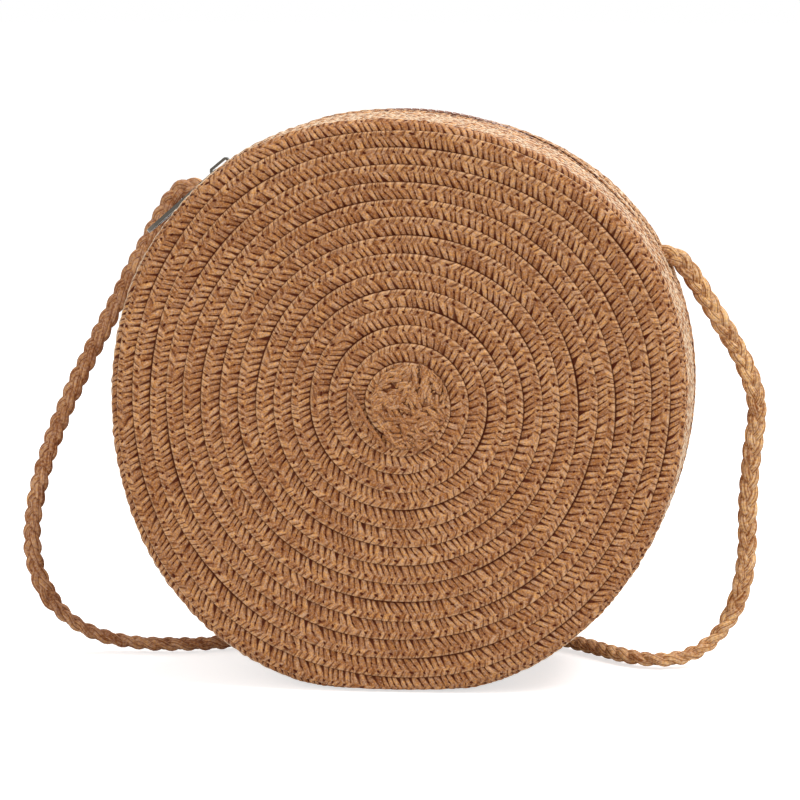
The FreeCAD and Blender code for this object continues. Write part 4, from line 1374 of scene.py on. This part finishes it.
@dataclass
class RopeStrap:
    """The strap: one plaited rope from the left anchor, through a coil behind the bag, to the right one."""

    left_route: list[Triple]
    right_route: list[Triple]
    coil_inner: float = 26.0
    coil_turns: int = 3
    coil_pitch: float = 6.2
    coil_rise: float = 6.1
    coil_back: float = 46.5
    coil_floor: float = 3.7
    points_per_turn: int = 16
    diameter: float = 5.5 * MM
    length: float = 1.148
    plait_period: float = 16 * MM
    plait_wide: float = 1.45 * MM
    plait_deep: float = 0.75 * MM
    strand_wide: float = 1.65 * MM
    strand_deep: float = 1.3 * MM
    yarn_tall: float = 0.06
    yarn_rate: float = 2.5
    yarn_twist: float = 4.0
    lump_tall: float = 0.05
    lump_run: float = 3.1 * MM
    hang_rise: Pair = (8 * MM, 30 * MM)
    sample: float = 0.7 * MM
    fuzz_seed: int = 31
    fuzz_count: int = 1800
    fuzz_steps: int = 5
    fuzz_back: float = 24 * MM
    fuzz_wide: float = 0.045 * MM
    fuzz_taper: float = 0.7
    fuzz_root: Pair = (0.7, 0.6)
    fuzz_long: Pair = (1.5, 5.0)
    fuzz_curl: Pair = (0.1, 1.1)
    fuzz_stray: float = 0.5
    fuzz_floor: float = 0.2 * MM
    knot_inset: float = 0.35
    knot_thick: float = 0.34
    knot_flat: float = 0.8
    knot_twist: Triple = (0.1, 3.0, 9.0)
    tie_turns: int = 4
    tie_power: float = 0.35

    STRANDS = 3
    STRAND_SIDES = 18
    KNOT_GRID = (160, 16)
    TIE_GRID = (96, 10)
    LEFT_FACING = (-0.35, -0.9, 0.25)
    RIGHT_FACING = (0.1, -1.0, 0.1)
    UP = (0.0, 0.0, 1.0)

    def coil(self) -> list[Triple]:
        """Points of the coil: a flat spiral that winds in, crosses over at its inner turn and winds out.

        Returns:
            The points in millimetres.
        """
        half = math.pi * self.coil_turns
        climb = math.pi / 2
        angle = np.linspace(0, 2 * half, self.coil_turns * self.points_per_turn + 1)[1:-1]
        offset = angle - half
        wind = np.where(np.abs(offset) < climb, offset**2 / (2 * climb) + climb / 2, np.abs(offset))
        reach = self.coil_inner + self.coil_pitch / FULL_TURN * wind
        lift = self.coil_rise * smoothstep(-climb, climb, offset)
        middle = self.coil_back + self.coil_inner + self.coil_pitch / FULL_TURN * half
        place = np.stack([reach * np.sin(angle), middle - reach * np.cos(angle), self.coil_floor + lift], 1)
        return [tuple(point) for point in place.tolist()]

    def centreline(self) -> np.ndarray:
        """The rope's middle line in metres, read from a smooth spline with the route's points."""
        route = [*self.left_route, *self.coil(), *self.right_route]
        curve = bpy.data.curves.new("rope_route", "CURVE")
        curve.dimensions = "3D"
        spline = curve.splines.new("NURBS")
        spline.points.add(len(route) - 1)
        flat = [(x * MM, y * MM, z * MM, 1.0) for x, y, z in route]
        spline.points.foreach_set("co", np.array(flat).ravel())
        spline.order_u = 3
        spline.use_endpoint_u = True
        spline.resolution_u = 16
        holder = bpy.data.objects.new("rope_route", curve)
        mesh = bpy.data.meshes.new_from_object(holder)
        place = np.zeros(len(mesh.vertices) * 3)
        mesh.vertices.foreach_get("co", place)
        bpy.data.objects.remove(holder)
        bpy.data.curves.remove(curve)
        bpy.data.meshes.remove(mesh)
        return place.reshape(-1, 3)

    def frames(self, line: np.ndarray) -> tuple[np.ndarray, np.ndarray, np.ndarray, np.ndarray]:
        """Even samples of the line with the directions across and through the flat plait.

        The plait's flat face looks up where it lies on the floor. Where it hangs, the right run shows its
        flat face to the front and the left run its edge.

        Args:
            line: points of the middle line.

        Returns:
            Length along the rope, places, directions across the plait and directions through it.
        """
        ahead = np.concatenate([[0], np.cumsum(np.linalg.norm(np.diff(line, axis=0), axis=1))])
        along = np.arange(0, ahead[-1], self.sample)
        place = np.stack([np.interp(along, ahead, line[:, axis]) for axis in range(3)], 1)
        tangent = unit(np.gradient(place, axis=0))
        hangs = smoothstep(*self.hang_rise, place[:, 2])[:, None]
        hanging = np.where(place[:, :1] < 0, np.array([self.LEFT_FACING]), np.array([self.RIGHT_FACING]))
        facing = (1 - hangs) * np.array(self.UP) + hangs * hanging
        across = unit(np.cross(tangent, facing))
        return along, place, across, np.cross(across, tangent)

    def plait(self, line: np.ndarray) -> list[Grid]:
        """Three strands that cross: each sways across the rope once while it dips through it twice.

        A strand is flattened, wide across the plait and thin through it, with a furrow between its yarns.

        Args:
            line: points of the middle line.

        Returns:
            The strands as tubes.
        """
        along, place, across, through = self.frames(line)
        step, angles = along[:, None], circle(self.STRAND_SIDES)
        twist = FULL_TURN * step / (self.yarn_twist * self.plait_period)
        strands = []
        for number in range(self.STRANDS):
            phase = FULL_TURN * (step / self.plait_period + number / self.STRANDS)
            sway, dip = self.plait_wide * np.sin(phase), self.plait_deep * np.sin(2 * phase)
            middle = place + sway * across + dip * through
            tangent = unit(np.gradient(middle, axis=0))
            side = unit(np.cross(tangent, through))
            yarn = 1 + self.yarn_tall * np.abs(np.cos(self.yarn_rate * angles + twist))
            yarn = yarn - self.lump_tall * np.sin(step / self.lump_run + number)
            sizes = self.strand_wide * yarn, self.strand_deep * yarn
            points = tube(middle, side, np.cross(side, tangent), sizes, angles)
            strands.append(Grid(points, stacked(step, closed(angles) / FULL_TURN), closed_columns=True))
        return strands

    def fuzz(self, line: np.ndarray) -> Grid:
        """Loose fibres of the two runs: thin ribbons that run along the plait and curl away.

        Args:
            line: points of the middle line.

        Returns:
            All fibres in one grid, a few rows each.
        """
        chance, count = np.random.default_rng(self.fuzz_seed), self.fuzz_count
        place, across, through = self.frames(line)[1:]
        pick = chance.choice(np.flatnonzero(place[1:-1, 1] < self.fuzz_back) + 1, count)
        turn = chance.uniform(0, FULL_TURN, count)[:, None]
        ahead = unit(place[pick + 1] - place[pick - 1]) * chance.choice([-1.0, 1.0], count)[:, None]
        right, above = np.cos(turn) * across[pick], np.sin(turn) * through[pick]
        wide = self.plait_wide + self.fuzz_root[0] * self.strand_wide
        deep = self.plait_deep + self.fuzz_root[1] * self.strand_deep
        root, out = place[pick] + wide * right + deep * above, right + above
        side = np.cross(ahead, out)
        long = chance.uniform(*self.fuzz_long, count)[:, None, None] * MM
        curl = chance.uniform(*self.fuzz_curl, count)[:, None, None] * MM
        stray = chance.normal(0, self.fuzz_stray, count)[:, None, None] * MM
        share = np.linspace(0, 1, self.fuzz_steps)[None, :, None]
        path = root[:, None] + long * share * ahead[:, None]
        path = path + curl * share**1.5 * out[:, None] + stray * share**2 * side[:, None]
        path[..., 2] = np.maximum(path[..., 2], self.fuzz_floor)
        half = (self.fuzz_wide * (1 - self.fuzz_taper * share) * side[:, None]).reshape(-1, 3)
        path = path.reshape(-1, 3)
        points = np.stack([path - half, path + half], 1)
        kept = (np.arange(len(points) - 1) % self.fuzz_steps < self.fuzz_steps - 1)[:, None]
        return Grid(points, points[..., :2], kept=kept)

    def knot(self, node: str) -> Grid:
        """A stopper knot: a rope-thick tube along a trefoil, as big as the node that it stands for."""
        low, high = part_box(node)
        spread = min(high - low) / 2 - self.diameter * self.knot_inset
        turn, angles = map(circle, self.KNOT_GRID)
        ring = (2 + np.cos(3 * turn)) / 3
        x, y, z = ring * np.cos(2 * turn), ring * np.sin(2 * turn), self.knot_flat * np.sin(3 * turn)
        path = spread * np.stack([x, y, z], 1)
        tangent = unit(np.roll(path, -1, 0) - np.roll(path, 1, 0))
        side = unit(np.cross(tangent, self.UP))
        tall, strands, twist = self.knot_twist
        thick = 1 + tall * np.cos(strands * angles + twist * turn[:, None])
        thick = self.diameter * self.knot_thick * thick
        line = np.array((low + high) / 2) + path
        points = tube(line, side, np.cross(side, tangent), (thick, thick), angles)
        uv = stacked(closed(turn)[:, None] * spread, closed(angles) / FULL_TURN)
        return Grid(points, uv, closed_rows=True, closed_columns=True)

    def tie(self, node: str) -> list[Grid]:
        """The coil's tie: turns of yarn side by side, tubes along a rounded rectangle in the node's box."""
        low, high = (np.array(corner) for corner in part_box(node))
        middle, half = (low + high) / 2, (high - low) / 2
        thick = half[0] / self.tie_turns
        turn, angles = map(circle, self.TIE_GRID)
        waves = np.cos(turn)[:, None], np.sin(turn)[:, None]
        along, above = (np.sign(wave) * np.abs(wave) ** self.tie_power for wave in waves)
        y = middle[1] + (half[1] - thick + thick * np.cos(angles)) * along
        z = middle[2] + (half[2] - thick + thick * np.cos(angles)) * above
        uv = stacked(closed(turn)[:, None] * half[1], closed(angles) / FULL_TURN)
        starts = middle[0] + (2 * np.arange(self.tie_turns) + 1 - self.tie_turns) * thick
        return [
            Grid(stacked(start + thick * np.sin(angles), y, z), uv, closed_rows=True, closed_columns=True)
            for start in starts
        ]

    def build(self, finishes: Finishes) -> None:
        line = self.centreline()
        rope = mesh_object("rope_strap", self.plait(line), finishes.rope)
        knots = []
        for side in ("left", "right"):
            knots.append(mesh_object(f"{side}_rope_knot", [self.knot(f"strap_{side}_knot")], finishes.rope))
        tie = mesh_object("coil_tie", self.tie("strap_coil_tie"), finishes.rope)
        fuzz = mesh_object("rope_fuzz", [self.fuzz(line)], finishes.rope)
        seat(rope, Slot.ROPE, "strap_left_run", "strap_right_run", "strap_coil")
        seat(fuzz, Slot.ROPE)
        seat(tie, Slot.ROPE, "strap_coil_tie")
        seat(knots[0], Slot.ROPE, "strap_left_knot")
        seat(knots[1], Slot.ROPE, "strap_right_knot")


@dataclass
class SeamTape:
    """The cloth tape inside the lower seam."""

    form: BagForm
    inset: float = 3.05 * MM
    half_wide: float = 2.5 * MM
    lap: float = math.radians(5)

    GRID = (180, 5)

    def build(self, finishes: Finishes) -> None:
        """Builds the tape as a band round the lower part of the bag."""
        low, high = self.form.zip_ends(self.lap)
        angle = np.linspace(high, low + FULL_TURN, self.GRID[0])[:, None]
        across = np.linspace(-1, 1, self.GRID[1]) * self.half_wide
        reach = self.form.radius - self.inset - np.abs(across) * math.tan(self.form.lean)
        x, z = reach * np.sin(angle), reach * np.cos(angle) + self.form.centre.z
        points = stacked(x, across, np.maximum(z, self.inset))
        grid = Grid(points, stacked(angle * self.form.radius, across))
        seat(mesh_object("seam_tape", [grid], finishes.lining), Slot.LINING, "lower_seam_tape")


@dataclass
class Studio:
    """The pale floor, the soft light and the camera."""

    form: BagForm
    azimuth: float = math.radians(6)
    elevation: float = math.radians(7)
    distance: float = 1.0
    focal_pixels: float = 3200.0
    image_pixels: float = 800.0
    centre_pixel: Pair = (406.9, 394.6)
    sensor: float = 36.0
    clip: float = 0.01
    floor_grey: tuple[float, float, float, float] = (0.8, 0.8, 0.8, 1.0)
    floor_rough: float = 0.9
    floor_spread: float = 30.0
    floor_glow: float = 0.66
    sky: float = 0.55

    LAMPS = (
        ("key", (0.55, -0.25, 1.1), 0.6, 9.0),
        ("fill", (-0.7, -1.1, 0.6), 1.0, 5.0),
        ("back", (0.25, 0.7, 0.9), 0.6, 6.0),
    )

    def camera(self) -> None:
        """The camera at the photograph's angle, shifted so that the bag's centre is on its pixel."""
        data = bpy.data.cameras.new("camera")
        data.sensor_width = self.sensor
        data.lens = self.focal_pixels / self.image_pixels * self.sensor
        data.clip_start = self.clip
        middle = self.image_pixels / 2
        data.shift_x = (middle - self.centre_pixel[0]) / self.image_pixels
        data.shift_y = (self.centre_pixel[1] - middle) / self.image_pixels
        eye = bpy.data.objects.new("camera", data)
        flat = math.cos(self.elevation)
        right, ahead = math.sin(self.azimuth) * flat, math.cos(self.azimuth) * flat
        toward = Vector((right, -ahead, math.sin(self.elevation)))
        eye.location = self.form.centre + self.distance * toward
        eye.rotation_euler = (-toward).to_track_quat("-Z", "Y").to_euler()
        bpy.context.scene.collection.objects.link(eye)
        bpy.context.scene.camera = eye

    def lamp(self, name: str, place: Triple, size: float, watts: float) -> None:
        """A square soft light aimed at the bag."""
        data = bpy.data.lights.new(name, "AREA")
        data.size = size
        data.energy = watts
        light = bpy.data.objects.new(name, data)
        light.location = place
        light.rotation_euler = (self.form.centre - Vector(place)).to_track_quat("-Z", "Y").to_euler()
        bpy.context.scene.collection.objects.link(light)

    def world(self) -> None:
        """An even sky that looks white to the camera and in reflections."""
        world = bpy.data.worlds.new("studio")
        world.use_nodes = True
        bpy.context.scene.world = world
        bench = Bench(world.node_tree)
        sky = world.node_tree.nodes["Background"].inputs
        sky["Color"].default_value = (1, 1, 1, 1)
        bench.join(bench.blend(bench.seen(), self.sky, 1.0), sky["Strength"])

    def floor(self) -> None:
        """A pale floor that turns white for the camera and keeps the bag's shadow."""
        run = (-self.floor_spread, self.floor_spread, 3)
        x, y = lattice(run, run)
        material = bpy.data.materials.new("pale_floor")
        material.use_nodes = True
        bench = Bench(material.node_tree)
        surface = material.node_tree.nodes["Principled BSDF"].inputs
        surface["Base Color"].default_value = self.floor_grey
        surface["Roughness"].default_value = self.floor_rough
        surface["Specular IOR Level"].default_value = 0.0
        surface["Emission Color"].default_value = (1, 1, 1, 1)
        bench.join(bench.times(bench.seen(), self.floor_glow), surface["Emission Strength"])
        mesh_object("floor", [Grid(np.stack([x, y, np.zeros_like(x)], -1))], material)

    def build(self) -> None:
        """Sets up the whole studio."""
        bpy.context.scene.view_settings.view_transform = "Standard"
        self.camera()
        self.world()
        self.floor()
        for lamp in self.LAMPS:
            self.lamp(*lamp)


LEFT_ROUTE = [
    (-57.2, 14.0, 141.7), (-67.0, 14.0, 149.8), (-71.4, 14.0, 150.3), (-75.4, 14.0, 148.2),
    (-80.4, 14.0, 139.6), (-86.1, 14.0, 129.4), (-95.1, 14.0, 112.2), (-104.4, 14.0, 94.7),
    (-112.7, 14.0, 77.3), (-119.3, 14.0, 59.6), (-123.3, 14.2, 42.4), (-122.9, 14.4, 27.2),
    (-116.3, 14.6, 13.9), (-105.1, 14.5, 5.8), (-91.0, 14.0, 2.9), (-76.0, 13.6, 2.75),
    (-63.0, 17.5, 2.75), (-51.0, 27.5, 2.75), (-39.0, 39.0, 2.9), (-23.0, 46.5, 3.7), (-5.5, 46.5, 3.7),
]
RIGHT_ROUTE = [
    (5.5, 46.5, 9.8), (19.0, 46.5, 9.8), (31.0, 44.5, 6.0), (43.0, 38.2, 2.9), (53.0, 29.0, 2.75),
    (61.0, 19.4, 2.75), (68.5, 10.2, 2.75), (78.0, 4.0, 2.75), (88.5, 8.5, 3.2), (97.0, 13.0, 8.2),
    (103.4, 14.0, 18.9), (106.6, 14.0, 33.7), (106.1, 14.0, 50.5), (107.4, 14.3, 67.3), (109.6, 14.0, 83.1),
    (105.3, 14.0, 95.9), (98.7, 14.0, 106.8), (92.1, 14.0, 117.2), (87.4, 14.0, 124.9), (83.4, 14.0, 129.4),
    (78.2, 14.0, 130.4), (69.2, 14.0, 125.6),
]


def main() -> None:
    """Builds the studio and the bag's pieces in order."""
    logging.basicConfig(level=logging.INFO, format="%(message)s")
    form = BagForm.from_frame()
    fold = Fold()
    finishes = Finishes()
    Studio(form).build()
    RopeStrap(LEFT_ROUTE, RIGHT_ROUTE).build(finishes)
    front = StrawPan(Side.FRONT, form, fold, 0.42 * MM, seed=7)
    back = StrawPan(Side.BACK, form, fold, 0.5 * MM, seed=19, shift=(-1.2 * MM, 0.8 * MM))
    for pan in (front, back):
        pan.build(finishes)
        SpiralHeart(pan).build(finishes)
    Lining(form, fold).build(finishes)
    Zip(form, fold).build(finishes)
    SeamTape(form).build(finishes)


if __name__ == "__main__":
    main()
